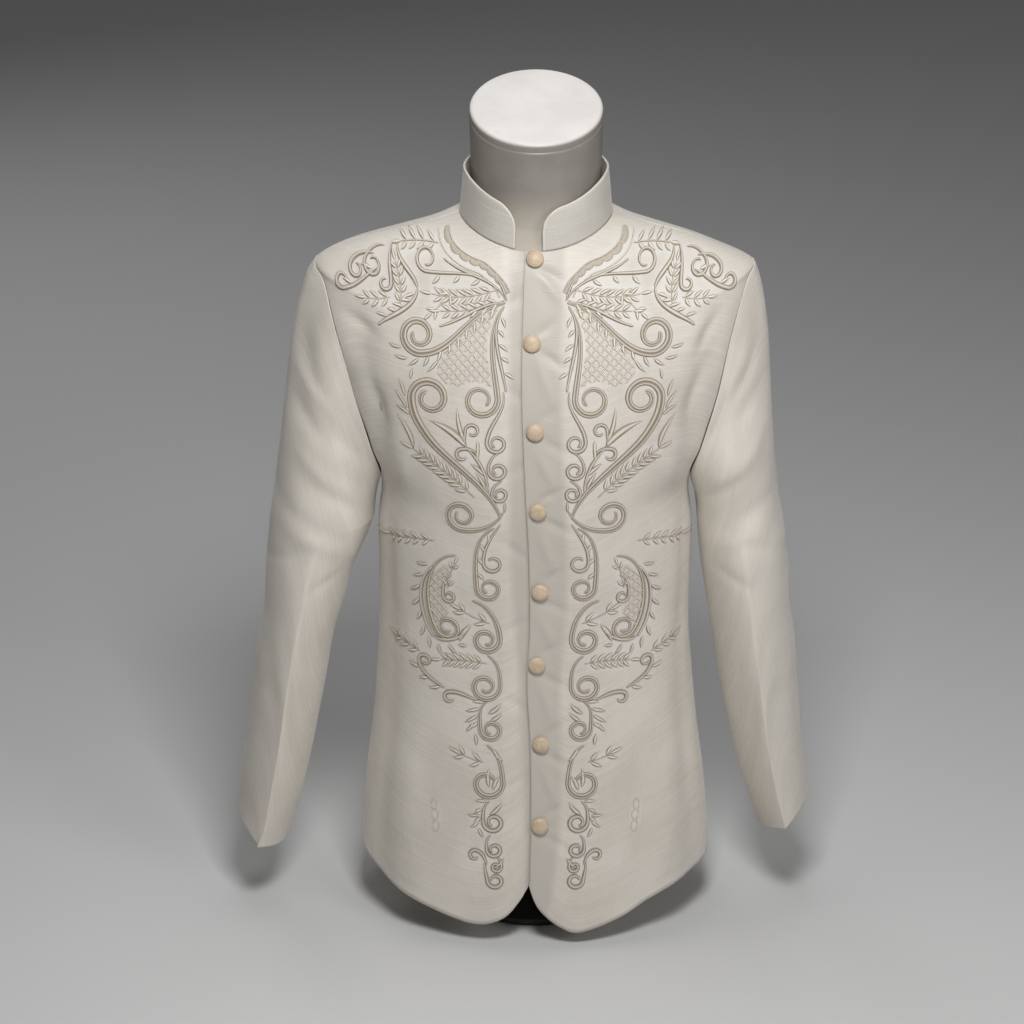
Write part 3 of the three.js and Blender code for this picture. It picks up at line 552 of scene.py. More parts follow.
def unit(vectors):
    return vectors / np.maximum(np.linalg.norm(vectors, axis=-1, keepdims=True), 1e-12)


def along(rows, row, column):
    """One column of a table at fractional rows, on a Catmull-Rom curve through the rows."""
    values = rows[column]
    last = len(values) - 1
    i = np.clip(np.floor(row).astype(int), 0, last - 1)
    t = row - i
    a, b, c, d = (values[np.clip(i + k, 0, last)] for k in (-1, 0, 1, 2))
    return b + 0.5 * t * (c - a + t * (2 * a - 5 * b + 4 * c - d + t * (3 * (b - c) + d - a)))


def row_at(rows, column, value):
    """The fractional rows at which a rising column reaches the values, by halving the interval."""
    value = np.asarray(value, float)
    low, high = np.zeros_like(value), np.full_like(value, len(rows[column]) - 1)
    for _ in range(22):
        middle = (low + high) / 2
        short = along(rows, middle, column) < value
        low, high = np.where(short, middle, low), np.where(short, high, middle)
    return (low + high) / 2


def cubic(t, start, handle_a, handle_b, end):
    """A cubic Bezier curve."""
    return (1 - t) ** 3 * start + 3 * (1 - t) ** 2 * t * handle_a + 3 * (1 - t) * t**2 * handle_b + t**3 * end


def body_form(row, angle):
    """The coat's smooth outer form: a rounded rectangle (superellipse) at each fractional row of BODY, its middles
    lowered by the drops times the square of the sine. Angle 0 is the side seam, minus a quarter turn the front."""
    row, angle = np.broadcast_arrays(np.asarray(row, float), np.asarray(angle, float))
    cosine, sine = np.cos(angle), np.sin(angle)
    power = 2 / along(BODY, row, "square")
    ahead = sine < 0
    depth = np.where(ahead, along(BODY, row, "front"), along(BODY, row, "back"))
    drop = np.where(ahead, along(BODY, row, "front_drop"), along(BODY, row, "back_drop"))
    return np.stack(
        [
            along(BODY, row, "half_width") * signed_power(cosine, power),
            depth * signed_power(sine, power),
            along(BODY, row, "z") - drop * sine**2,
        ],
        axis=-1,
    )


def body_normal(row, angle):
    """The outward direction of that form: the cross product of its two slopes."""
    step = 0.01
    row = np.asarray(row, float)
    across = body_form(row, angle + step) - body_form(row, angle - step)
    up = body_form(np.minimum(row + step, NECK_ROW), angle) - body_form(row - step, angle)
    return unit(np.cross(across, up))


def fold_depth(folds, side, z, degrees):
    """The sum of one side's broad folds: each is a bell curve up and round, leaning with height."""
    total = np.zeros_like(z)
    for k in np.flatnonzero(folds["side"] == side):
        fold = {name: folds[name][k] for name in FOLD_COLUMNS}
        across = degrees - fold["angle"] - fold["lean"] * (z - fold["z"])
        total += fold["depth"] * bump(z - fold["z"], fold["tall"]) * bump(across, fold["wide"])
    return total


def crease_depth(creases, side, x, z):
    """The sum of one side's small creases: a bell curve across a slightly bent line each, fading at its ends."""
    total = np.zeros_like(z)
    for k in np.flatnonzero(creases["side"] == side):
        crease = {name: creases[name][k] for name in CREASE_COLUMNS}
        turn = math.radians(crease["turn"])
        dx, dz = x - crease["x"], z - crease["z"]
        down = dx * math.cos(turn) + dz * math.sin(turn)
        across = dz * math.cos(turn) - dx * math.sin(turn) - crease["bend"] * down**2
        total += crease["depth"] * bump(down, crease["long"]) * bump(across, crease["wide"])
    return total


def unevenness(u, v):
    """A slight waviness of hand-sewn cloth: four slow sine waves in different directions, 0.6 mm at most."""
    return (
        0.22 * np.sin(u / 17 + 1.3 * np.sin(v / 41))
        + 0.18 * np.sin(v / 23 + u / 37 + 0.7)
        + 0.12 * np.sin(u / 9.1 - v / 13.7)
        + 0.08 * np.sin(v / 8.3 + 2.1 * np.sin(u / 29))
    )


def lap_angle(row, over):
    """The angle at which the front lies this far over the middle, on the other half."""
    share = (over / along(BODY, row, "half_width")) ** (along(BODY, row, "square") / 2)
    return -math.pi / 2 - np.arcsin(share)


def armhole_angle(row, reach):
    """How far the armhole's edge lies round from the side seam: full below, closing gently at the shoulder."""
    place = 2 * (row - UNDERARM_ROW) / (SHOULDER_ROW - UNDERARM_ROW) - 1
    square, close = np.where(place < 0, 2.6, 1.9), np.where(place < 0, 1 / 2.6, 0.8)
    return math.radians(reach) * np.maximum(0, 1 - np.abs(place) ** square) ** close


def panel_rows(hem_rows, counts):
    """Rows of BODY from the hem of each column up to the neckline, closer at the armhole's two ends."""
    skirt = np.linspace(0, 1, counts["skirt"], endpoint=False)[:, None]
    armhole = (1 - np.cos(np.pi * np.arange(counts["armhole"]) / counts["armhole"]))[:, None] / 2
    shoulder = np.linspace(0, 1, counts["shoulder"] + 1)[:, None]
    flat = np.zeros_like(hem_rows)[None, :]
    return np.concatenate(
        [
            hem_rows + skirt * (UNDERARM_ROW - hem_rows),
            flat + UNDERARM_ROW + armhole * (SHOULDER_ROW - UNDERARM_ROW),
            flat + SHOULDER_ROW + shoulder * (NECK_ROW - SHOULDER_ROW),
        ]
    )


def mirrored(points, side):
    return points * np.array([side, 1, 1])


PANEL_COUNTS = {"skirt": 130, "armhole": 84, "shoulder": 36}
FRONT_COLUMNS = 112
BACK_COLUMNS = 120


def front_outer(side, row, angle):
    """Points of a front's outer face: the form, moved along its normal by folds and creases, and dipped where this
    front lies under the other."""
    form = body_form(row, angle)
    x, z = form[..., 0], form[..., 2]
    out = fold_depth(FOLDS, side, z, np.degrees(angle))
    out = out + crease_depth(FRONT_CREASES, side, x, z) + unevenness(x * side + 400, z)
    if side < 0:
        out = out - (1 - smoothstep(x, UNDERLAP["full"], UNDERLAP["start"])) * (WALL + LAP_CLEARANCE)
    return mirrored(form + body_normal(row, angle) * out[..., None], side)


def front_place(x, z):
    """Rows and angles of the form's front at these distances from the middle and heights, by halving the interval.
    The height at a row is its z less the drop times 1 - (x over the half width) to the power of square."""
    low, high = np.zeros_like(x), np.full_like(x, NECK_ROW)
    for _ in range(24):
        middle = (low + high) / 2
        share = np.clip(np.abs(x) / along(BODY, middle, "half_width"), 0, 1) ** along(BODY, middle, "square")
        short = along(BODY, middle, "z") - along(BODY, middle, "front_drop") * (1 - share) < z
        low, high = np.where(short, middle, low), np.where(short, high, middle)
    share = np.clip(np.abs(x) / along(BODY, low, "half_width"), 0, 1) ** (along(BODY, low, "square") / 2)
    return low, -math.pi / 2 + np.sign(x) * np.arcsin(share)


def front_grid(side):
    """Rows and angles of a front, from its closing edge round to the side seam, the armhole and the shoulder."""
    hem, column = (HEM["left"], "over") if side > 0 else (HEM["right"], "under")
    share = np.linspace(0, 1, FRONT_COLUMNS + 1) ** 1.15
    first = lap_angle(np.array(1.0), LAP[column][0])
    hem_x = body_form(1.0, first * (1 - share))[:, 0]
    row = panel_rows(row_at(BODY, "z", along(hem, row_at(hem, "x", hem_x), "z")), PANEL_COUNTS)
    height = along(BODY, row, "front_z")
    start = lap_angle(row, along(LAP, row_at(LAP, "z", height), column))
    end = -armhole_angle(row, ARMHOLE_REACH["front"])
    return row, start + share * (end - start)


def back_grid():
    """Rows, angles and the side of each column of the back, from the right side seam to the left."""
    share = np.linspace(-1, 1, BACK_COLUMNS + 1)
    hem_x = body_form(1.0, (1 - np.abs(share)) * math.pi / 2)[:, 0]
    hem = HEM["back"]
    row = panel_rows(row_at(BODY, "z", along(hem, row_at(hem, "x", hem_x), "z")), PANEL_COUNTS)
    end = armhole_angle(row, ARMHOLE_REACH["back"])
    return row, math.pi / 2 + np.abs(share) * (end - math.pi / 2), np.where(share < 0, -1, 1)


def back_outer(row, angle, side):
    """Points of the back's outer face. Beside the middle the two halves' folds are blended."""
    form = body_form(row, angle)
    x, z = form[..., 0], form[..., 2]
    weight = smoothstep(x * side, -14, 14)
    out = unevenness(x * side + 90, z + 50)
    for half, part in ((-1, 1 - weight), (1, weight)):
        folds = fold_depth(FOLDS, half, z, np.degrees(angle))
        out = out + part * (folds + crease_depth(BACK_CREASES, half, x, z))
    moved = form + body_normal(row, angle) * out[..., None]
    return moved * np.stack([side, np.ones_like(side), np.ones_like(side)], axis=-1)


SLEEVE_ROUND = 112
SLEEVE_HEAD_ROWS = 54
SLEEVE_STEPS = 13  # rows between two sections of the table
CUFF_HEM = 72  # depth of the turned-up hem


def armhole_loop(side):
    """The armhole's edge on the half at +X as a closed line of points: from the underarm up the front to the
    shoulder, and down the back."""
    half = SLEEVE_ROUND // 2
    eased = (1 - np.cos(np.pi * np.arange(half + 1) / half)) / 2
    row = UNDERARM_ROW + eased * (SHOULDER_ROW - UNDERARM_ROW)
    lines = []
    for name, sign in (("front", -1), ("back", 1)):
        angle = sign * armhole_angle(row, ARMHOLE_REACH[name])
        form = body_form(row, angle)
        out = fold_depth(FOLDS, side, form[:, 2], np.degrees(angle))
        lines.append(form + body_normal(row, angle) * out[:, None])
    return np.concatenate([lines[0][:-1], lines[1][:0:-1]])


def sleeve_section(section, turn):
    """Points round a sleeve's section: a round tube, its cosine raised to a power that presses it to a crease at
    front and back. Turn 0 is next to the body and a quarter turn is the front."""
    half_width = (section["outer"] - section["inner"]) / 2
    across = signed_power(np.cos(turn), section["crease"])
    return np.stack(
        np.broadcast_arrays(
            section["inner"] + half_width * (1 - across),
            section["middle_y"] - section["half_depth"] * np.sin(turn),
            section["z"],
        ),
        axis=-1,
    )


def moved_rings(rings, distance):
    """Each point of a tube of rings moved along the outward direction there, further at a crease, so that the wall
    keeps its thickness on both sides of it."""
    down = np.empty_like(rings)
    down[1:-1] = rings[2:] - rings[:-2]
    down[0], down[-1] = rings[1] - rings[0], rings[-1] - rings[-2]
    before = unit(np.cross(down, rings - np.roll(rings, 1, axis=1)))
    after = unit(np.cross(down, np.roll(rings, -1, axis=1) - rings))
    outward = unit(before + after)
    stretch = 1 / np.maximum(0.4, (outward * before).sum(axis=-1))
    return rings + outward * (distance * stretch)[..., None]


def sleeve_rings(sleeve):
    """The sleeve's outer face as rings from the armhole to the cuff, on the half at +X, with the angle round it.
    Each line leaves the armhole outwards and down on a cubic Bezier curve, then follows the table's sections."""
    side, head, hem, table_rows = sleeve["side"], sleeve["head"], sleeve["hem"], sleeve["sections"]
    loop = armhole_loop(side)
    turn = 2 * np.pi * np.arange(SLEEVE_ROUND) / SLEEVE_ROUND
    upper = smoothstep(-np.cos(turn), -0.7, -0.1)
    start = loop + SEAM_DIRECTION * (UNDERARM_GAP + upper * (SHOULDER_GAP - UNDERARM_GAP))[:, None]
    first = {name: table_rows[name][0] for name in SLEEVE_COLUMNS}
    end = sleeve_section(first, turn)
    length = np.linalg.norm(start - end, axis=1, keepdims=True)
    outer_share = (0.5 - 0.5 * np.cos(turn))[:, None]
    out = UNDERARM_OUT + outer_share * (head["out"] - UNDERARM_OUT)
    level = np.zeros_like(out)
    handle_a = start + np.concatenate([out, level, level - head["down"]], axis=1) * length
    handle_b = end + np.concatenate([-0.19 * outer_share, level, level + 1], axis=1) * 0.36 * length
    t = ((np.arange(SLEEVE_HEAD_ROWS) / SLEEVE_HEAD_ROWS) ** 1.15)[:, None, None]
    bezier = cubic(t, start, handle_a, handle_b, end)
    last = len(table_rows["z"]) - 1
    place = np.linspace(0, last, last * SLEEVE_STEPS + 1)[:, None]
    section = {name: along(table_rows, place, name) for name in SLEEVE_COLUMNS}
    tube = sleeve_section(section, turn[None, :])
    across = signed_power(np.cos(turn), section["crease"])
    middle = np.where(turn < np.pi, hem["front"], hem["back"]) * (1 - np.abs(across))
    ends = np.abs(across) * np.where(across > 0, hem["inner"], hem["outer"])
    tube[..., 2] += (middle + ends) * smoothstep(place, last - 4, last)
    rings = np.concatenate([bezier, tube])
    degrees = np.degrees(turn)[None, :] + np.zeros(rings.shape[:2])
    z = rings[..., 2]
    fixed = smoothstep(np.arange(len(rings))[:, None] + 0.0, 0, 12)
    small = crease_depth(SLEEVE_CREASES, side, degrees, z) + unevenness(degrees * 1.2 + 50 * side, z)
    out = fixed * (fold_depth(SLEEVE_FOLDS, side, z, degrees) + 0.8 * small)
    return moved_rings(rings, out), turn


# ---------------------------------------------------------------- embroidery
def rows_of(rows):
    """The rows of a table as one dictionary each."""
    return [dict(zip(rows, values)) for values in zip(*rows.values())]


def heading(degrees):
    """A step of length 1 in this direction, from +x towards +z."""
    angle = np.radians(degrees)
    return np.stack([np.cos(angle), np.sin(angle)], axis=-1)


def direction(step):
    return math.degrees(math.atan2(step[1], step[0]))


def ends_of(row):
    """The root and the tip in a row of a table."""
    return np.array([row["root_x"], row["root_z"]]), np.array([row["tip_x"], row["tip_z"]])


def bowed(start, end, leave, arrive, reach=0.36, count=48):
    """A cubic Bezier curve that leaves and arrives at these headings, its handles a share of the straight way."""
    arm = reach * np.linalg.norm(end - start)
    t = np.linspace(0, 1, count)[:, None]
    return cubic(t, start, start + arm * heading(leave), end - arm * heading(arrive), end)


def evenly(path, step):
    """The path with its points at even distances of about a step."""
    lengths = np.append(0, np.cumsum(np.linalg.norm(np.diff(path, axis=0), axis=1)))
    places = np.linspace(0, lengths[-1], max(4, round(lengths[-1] / step)))
    return np.stack([np.interp(places, lengths, path[:, k]) for k in (0, 1)], axis=-1)


def stroke(path, width, rise=CORD_RISE, tone=PLAIN_TONE, ridges=1, shape="cord", step=1.3):
    """One raised stroke of stitching. A cord swells from a thin root and ends in a round knob, a leaf is a pointed
    oval (a power of a sine), a disc is rounder, and a line is even."""
    path = evenly(path, step)
    t = np.linspace(0, 1, len(path))
    ends = np.sqrt(np.clip(np.minimum(t, 1 - t) * len(path) * step / (0.5 * width), 0.0025, 1))
    shares = {
        "cord": (0.34 + 0.7 * np.sin(math.pi * t**1.15) ** 0.8 + 0.26 * bump(1 - t, 0.05)) * ends,
        "leaf": np.maximum(0.06, np.sin(math.pi * t**0.82) ** 0.85),
        "disc": np.maximum(0.06, 2 * np.sqrt(t * (1 - t))),
        "line": ends,
    }[shape]
    rises = rise * np.minimum(1, 0.25 + shares)
    return {"path": path, "half": width / 2 * shares, "rise": rises, "tone": tone, "ridges": ridges}


def leaf(root, towards, length, width, bend=14, tone=PALE_TONE):
    """A pointed oval leaf whose middle line bends to one side."""
    tip = root + length * heading(towards)
    path = bowed(root, tip, towards - bend, towards + bend, count=12)
    return stroke(path, width, LEAF_RISE, tone, shape="leaf", step=length / 8)


def leaves_beside(path, count, length=11.5, width=3.8, first=0.14, last=0.8):
    """Leaves along one side of a stem, on its left if count is above 0, each turned forwards from the stem."""
    side = math.copysign(1, count)
    made = []
    for k, share in enumerate(np.linspace(first, last, abs(int(count)))):
        i = round(share * (len(path) - 2))
        forward = direction(path[i + 1] - path[i])
        root = path[i] + side * 1.8 * heading(forward + 90)
        made.append(leaf(root, forward + side * 44, length * (1 - 0.18 * (k % 2)), width, -14 * side))
    return made


def scroll_path(scroll):
    """A stem and its curl: a Bezier curve that meets the curl's circle along the circle's own direction, then a
    spiral whose radius falls by the same share with each turn."""
    root, centre = np.array([scroll["root_x"], scroll["root_z"]]), np.array([scroll["x"], scroll["z"]])
    hand, radius, away = scroll["hand"], scroll["radius"], root - centre
    opening = math.degrees(math.acos(min(1, radius / np.linalg.norm(away))))
    entry = direction(away) + hand * (opening + scroll["late"])
    meet = centre + radius * heading(entry)
    stem = bowed(root, meet, direction(meet - root) + scroll["bow"], entry + 90 * hand)
    turn = np.linspace(0, 1, 90)[1:]
    turned = scroll["turns"] * turn
    reach = (radius * (1 - CURL_RATE * scroll["turns"] * turn))[:, None]
    return stem, np.concatenate([stem, centre + reach * heading(entry + hand * 360 * turned)])


def spray_strokes(spray):
    """A thin bowed twig, leaves in pairs along it and a last one at its tip."""
    root, tip = ends_of(spray)
    straight = direction(tip - root)
    twig = bowed(root, tip, straight - spray["bow"], straight + spray["bow"])
    made = [stroke(twig, 1.3, 0.9, PLAIN_TONE, shape="line")]
    for share in np.linspace(0.14, 0.88, int(spray["pairs"])):
        i = round(share * (len(twig) - 2))
        forward = direction(twig[i + 1] - twig[i])
        size = spray["leaf"] * (1 - 0.3 * abs(share - 0.4))
        for side in (1, -1):
            root = twig[i] + side * 0.6 * heading(forward + 90)
            made.append(leaf(root, forward + side * spray["spread"], size, spray["width"], -10 * side))
    made.append(leaf(tip, straight + spray["bow"], spray["leaf"], spray["width"], 0))
    return made


def inside(outline, points):
    """Whether points lie in a closed outline: an odd number of its edges cross the ray from them towards +x."""
    corners = np.stack([outline["x"], outline["z"]], axis=-1)
    ahead = np.roll(corners, -1, axis=0)
    x, z = points[:, None, 0], points[:, None, 1]
    spans = (corners[:, 1] > z) != (ahead[:, 1] > z)
    rise = np.where(ahead[:, 1] == corners[:, 1], 1, ahead[:, 1] - corners[:, 1])
    crossing = corners[:, 0] + (z - corners[:, 1]) / rise * (ahead[:, 0] - corners[:, 0])
    return (spans & (x < crossing)).sum(axis=1) % 2 == 1


def net_strokes(outline):
    """Two sets of slanting lines at an even pitch, kept where they lie in the outline."""
    middle = np.array([outline["x"].mean(), outline["z"].mean()])
    reach = np.arange(-90, 91, 1.0)
    made = []
    for slant in NET_SLANTS:
        for k in range(-12, 13):
            line = middle + k * NET_PITCH * heading(slant + 90) + reach[:, None] * heading(slant)
            kept = np.concatenate([[0], inside(outline, line).astype(int), [0]])
            starts, stops = np.flatnonzero(np.diff(kept) == 1), np.flatnonzero(np.diff(kept) == -1)
            for a, b in zip(starts, stops):
                if b - a > 3:
                    made.append(stroke(line[a:b], THIN_CORD, 1.1, 1.0, shape="line", step=2.4))
    return made


def neck_strokes():
    """The scalloped line round the neck: a chain of half discs, their flat sides covered by a thin cord."""
    place = np.linspace(0, len(NECK_TRIM["x"]) - 1, 200)
    line = evenly(np.stack([along(NECK_TRIM, place, "x"), along(NECK_TRIM, place, "z")], axis=-1), 1.0)
    outward = heading(np.degrees(np.arctan2(*np.gradient(line, axis=0)[:, ::-1].T)) + 90)
    made = []
    for start in range(1, len(line) - SCALLOP, SCALLOP):
        t = np.linspace(0, 1, SCALLOP + 1)[:, None]
        middle = SCALLOP_DEPTH * np.sqrt(t * (1 - t)) * outward[start : start + SCALLOP + 1]
        made.append(stroke(line[start : start + SCALLOP + 1] + middle, SCALLOP_DEPTH, 0.8, 1.9, 0, "disc"))
    for offset in NECK_CORDS:
        made.append(stroke(line + offset * outward, THIN_CORD, 1.2, 0.8, shape="line"))
    return made


def loop_strokes():
    """A chain of joined ovals in pale cord."""
    turn = np.linspace(0, 360, 40)
    made = []
    for loop in rows_of(LOOPS):
        oval = heading(turn) * (loop["half_width"], loop["half_height"]) + (loop["x"], loop["z"])
        made.append(stroke(oval, THIN_CORD, 0.8, 1.0, shape="line"))
    return made


def embroidery_strokes():
    """Every stroke of one front's embroidery."""
    made = []
    for scroll in rows_of(SCROLLS):
        stem, whole = scroll_path(scroll)
        tone = PLAIN_TONE - 0.02 * scroll["width"]
        made.append(stroke(whole, scroll["width"], tone=tone, ridges=int(scroll["ridges"])))
        made += leaves_beside(stem, scroll["leaves"])
    for stem in rows_of(STEMS):
        root, tip = ends_of(stem)
        straight = direction(tip - root)
        path = bowed(root, tip, straight + stem["leave"], straight + stem["arrive"])
        made.append(stroke(path, stem["width"]))
        made += leaves_beside(path, stem["leaves"])
    for alone in rows_of(LEAVES):
        root, tip = ends_of(alone)
        length = np.linalg.norm(tip - root)
        made.append(leaf(root, direction(tip - root), length, alone["width"], alone["bend"], 0.6))
    for spray in rows_of(SPRAYS):
        made += spray_strokes(spray)
    for outline in NETS:
        made += net_strokes(outline)
    return made + neck_strokes() + loop_strokes()


GROUND_CELL = 2.0
GROUND_REACH = 7.0


def ground_share(strokes, x, z):
    """How far a place lies inside the embroidery, 0 to 1: small cells that hold points of a stroke are blurred by a
    bell curve each way, and the value near the place is eased between two limits."""
    points = np.concatenate([made["path"] for made in strokes])
    edges = [np.arange(-20, 230, GROUND_CELL), np.arange(0, 780, GROUND_CELL)]
    count = (np.histogram2d(points[:, 0], points[:, 1], edges)[0] > 0).astype(float)
    steps = np.arange(-12, 13) * GROUND_CELL
    kernel = bump(steps, GROUND_REACH)
    kernel /= kernel.sum()
    for axis in (0, 1):
        count = np.apply_along_axis(np.convolve, axis, count, kernel, "same")
    i = np.clip((x - edges[0][0]) / GROUND_CELL - 0.5, 0, count.shape[0] - 1.001)
    j = np.clip((z - edges[1][0]) / GROUND_CELL - 0.5, 0, count.shape[1] - 1.001)
    a, b = i.astype(int), j.astype(int)
    s, t = i - a, j - b
    value = (count[a, b] * (1 - s) + count[a + 1, b] * s) * (1 - t)
    value += (count[a, b + 1] * (1 - s) + count[a + 1, b + 1] * s) * t
    return smoothstep(value, 0.10, 0.34)


# ---------------------------------------------------------------- meshes
def grid_faces(rows, columns, wrap=False, first=0):
    """The quads of a grid of rows x columns points, numbered along each row. With wrap each row closes."""
    spans = columns if wrap else columns - 1
    j, i = np.meshgrid(np.arange(rows - 1), np.arange(spans), indexing="ij")
    a, b = j * columns + i, j * columns + (i + 1) % columns
    return first + np.stack([a, b, b + columns, a + columns], axis=-1).reshape(-1, 4)


def grid_corners(values, wrap_value=None):
    """The four corner values of each quad of a grid, in the order of grid_faces."""
    if wrap_value is not None:
        values = np.concatenate([values, wrap_value], axis=1)
    return np.stack([values[:-1, :-1], values[:-1, 1:], values[1:, 1:], values[1:, :-1]], axis=2)


def new_piece(name, points, faces, uv=None, attributes=None, body="root"):
    """A piece from points in millimetres, faces, a value pair per face corner, and named values per point."""
    mesh = bpy.data.meshes.new(name)
    mesh.from_pydata(np.asarray(points) * MM, [], faces if isinstance(faces, list) else faces.tolist())
    mesh.polygons.foreach_set("use_smooth", np.ones(len(mesh.polygons), bool))
    if uv is not None:
        mesh.uv_layers.new(name="cloth").data.foreach_set("uv", np.asarray(uv, np.float32).ravel())
    for key, values in (attributes or {}).items():
        mesh.attributes.new(key, "FLOAT", "POINT").data.foreach_set("value", values.ravel().astype(np.float32))
    mesh.update()
    piece = bpy.data.objects.new(name, mesh)
    bpy.context.scene.collection.objects.link(piece)
    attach(piece, body)
    return piece


def surface_lengths(outer, wrap=False):
    """Lengths in metres along the surface of a grid of points, across each row and up each column."""
    steps = np.linalg.norm(np.diff(outer, axis=1), axis=-1)
    across = np.concatenate([np.zeros((len(outer), 1)), np.cumsum(steps, axis=1)], axis=1)
    rises = np.linalg.norm(np.diff(outer, axis=0), axis=-1)
    up = np.concatenate([np.zeros((1, outer.shape[1])), np.cumsum(rises, axis=0)])
    uv = np.stack([across, up], axis=-1) * MM
    if not wrap:
        return uv, None
    last = np.linalg.norm(outer[:, -1] - outer[:, 0], axis=-1) * MM
    return uv, np.stack([uv[:, -1, 0] + last, uv[:, -1, 1]], axis=-1)[:, None]


def sheet_piece(name, outer, inner, wrap=False, attributes=None):
    """A thin shell: a grid of outer points, the same grid of inner points, and the rims that join them."""
    rows, columns = outer.shape[:2]
    count = rows * columns
    front = grid_faces(rows, columns, wrap)
    back = grid_faces(rows, columns, wrap, count)[:, ::-1]
    uv, closing = surface_lengths(outer, wrap)
    corners = grid_corners(uv, closing).reshape(-1, 4, 2)
    loops = [np.arange(columns), (rows - 1) * columns + np.arange(columns)]
    if wrap:
        loops = [np.append(loop, loop[0]) for loop in loops]
    else:
        loops += [np.arange(rows) * columns, np.arange(rows) * columns + columns - 1]
    rims = []
    for loop, turned in zip(loops, (True, False, False, True)):
        a, b = loop[:-1], loop[1:]
        quads = np.stack([a, b, b + count, a + count], axis=-1)
        rims.append(quads[:, ::-1] if turned else quads)
    rims = np.concatenate(rims)
    flat = uv.reshape(-1, 2)
    rim_uv = flat[rims % count]
    faces = np.concatenate([front, back, rims])
    points = np.concatenate([outer.reshape(-1, 3), inner.reshape(-1, 3)])
    values = {key: np.concatenate([v.ravel(), v.ravel()]) for key, v in (attributes or {}).items()}
    return new_piece(name, points, faces, np.concatenate([corners, corners[:, ::-1], rim_uv]), values)


def grid_normals(outer):
    """Outward directions on an open grid of points: the cross product of its two slopes."""
    return unit(np.cross(np.gradient(outer, axis=1), np.gradient(outer, axis=0)))


def facing_out(piece):
    """Turns every face of a closed piece outwards."""
    made = bmesh.new()
    made.from_mesh(piece.data)
    bmesh.ops.recalc_face_normals(made, faces=made.faces)
    made.to_mesh(piece.data)
    made.free()
    return piece


def ring_piece(name, rings):
    """A closed solid from rings of points, with a fan over the first and the last."""
    rows, columns = rings.shape[:2]
    points = np.concatenate([rings.reshape(-1, 3), rings[:1].mean(axis=1), rings[-1:].mean(axis=1)])
    faces = grid_faces(rows, columns, wrap=True).tolist()
    low, high = rows * columns, rows * columns + 1
    for i in range(columns):
        faces.append([low, (i + 1) % columns, i])
        faces.append([high, (rows - 1) * columns + i, (rows - 1) * columns + (i + 1) % columns])
    return facing_out(new_piece(name, points, faces))


CORD_SHARES = np.sin(np.linspace(-math.pi / 2, math.pi / 2, 9))
LINE_SHARES = np.array([-1, -0.62, 0, 0.62, 1])
CORD_FOOT = 0.3  # how far a stroke's foot lies under the cloth's face


def stroke_piece(name, side, strokes):
    """Every stroke as a closed cord on a front. Across it the height is half an oval, or with two ridges a
    fourth-power oval with a dip in the middle. Its points are placed on the cloth and moved out along the form's
    normal."""
    points, faces, uv, tones, first = [], [], [], [], 0
    for made in strokes:
        shares = CORD_SHARES if made["rise"].max() > 1.3 else LINE_SHARES
        if made["ridges"] > 1:
            height = np.sqrt(np.maximum(0, 1 - shares**4)) * (0.78 - 0.22 * np.cos(2 * math.pi * shares))
        else:
            height = np.sqrt(np.maximum(0, 1 - shares**2))
        path = made["path"]
        ahead = unit(np.gradient(path, axis=0))
        sideways = np.stack([-ahead[:, 1], ahead[:, 0]], axis=-1)
        place = path[:, None] + sideways[:, None] * (made["half"][:, None] * shares)[..., None]
        rise = made["rise"][:, None] * height - CORD_FOOT * (np.abs(shares) == 1)
        count = len(shares)
        points.append(np.concatenate([place, rise[..., None]], axis=-1).reshape(-1, 3))
        quads = grid_faces(len(path), count, True, first)
        caps = [list(range(first, first + count))[::-1]]
        last = first + (len(path) - 1) * count
        caps.append(list(range(last, last + count)))
        faces += quads.tolist() + caps
        length = np.append(0, np.cumsum(np.linalg.norm(np.diff(path, axis=0), axis=1))) * MM
        ridges = made["ridges"] * (shares + 1) / 2
        value = np.stack(np.broadcast_arrays(length[:, None], ridges), axis=-1)
        uv.append(grid_corners(value, value[:, :1]).reshape(-1, 2))
        uv.append(np.zeros((2 * count, 2)))
        tones.append(np.full(len(path) * count, made["tone"]))
        first += len(path) * count
    points = np.concatenate(points)
    row, angle = front_place(points[:, 0], points[:, 1])
    lifted = front_outer(side, row, angle) + mirrored(body_normal(row, angle), side) * points[:, 2:]
    piece = new_piece(name, lifted, faces, np.concatenate(uv), {"tone": np.concatenate(tones)})
    return facing_out(piece)


def piped_edge(name, path, outward, radius):
    """A turned edge as a closed tube along a path: a circle set between the outward direction and the path's
    other side, at the middle of the wall."""
    path = path - outward * (COLLAR_WALL / 2)
    across = unit(np.cross(unit(np.gradient(path, axis=0)), outward))
    turn = 2 * np.pi * np.arange(10) / 10
    rings = path[:, None] + radius * (
        np.cos(turn)[:, None] * outward[:, None] + np.sin(turn)[:, None] * across[:, None]
    )
    return ring_piece(name, rings)


def revolved(profile, columns):
    """Rings of a profile of (radius, height) pairs carried once round the Z axis."""
    profile = np.asarray(profile, float)
    turn = 2 * np.pi * np.arange(columns) / columns
    radius, height = profile[:, :1], profile[:, 1:]
    return np.stack(
        np.broadcast_arrays(radius * np.cos(turn), radius * np.sin(turn), height), axis=-1
    )


def finish(piece, material, slot, *nodes):
    """Gives a piece its material and lets it stand for its solids. The slot is not used."""
    piece.data.materials.append(material)
    if nodes:
        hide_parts(*nodes)
    return piece


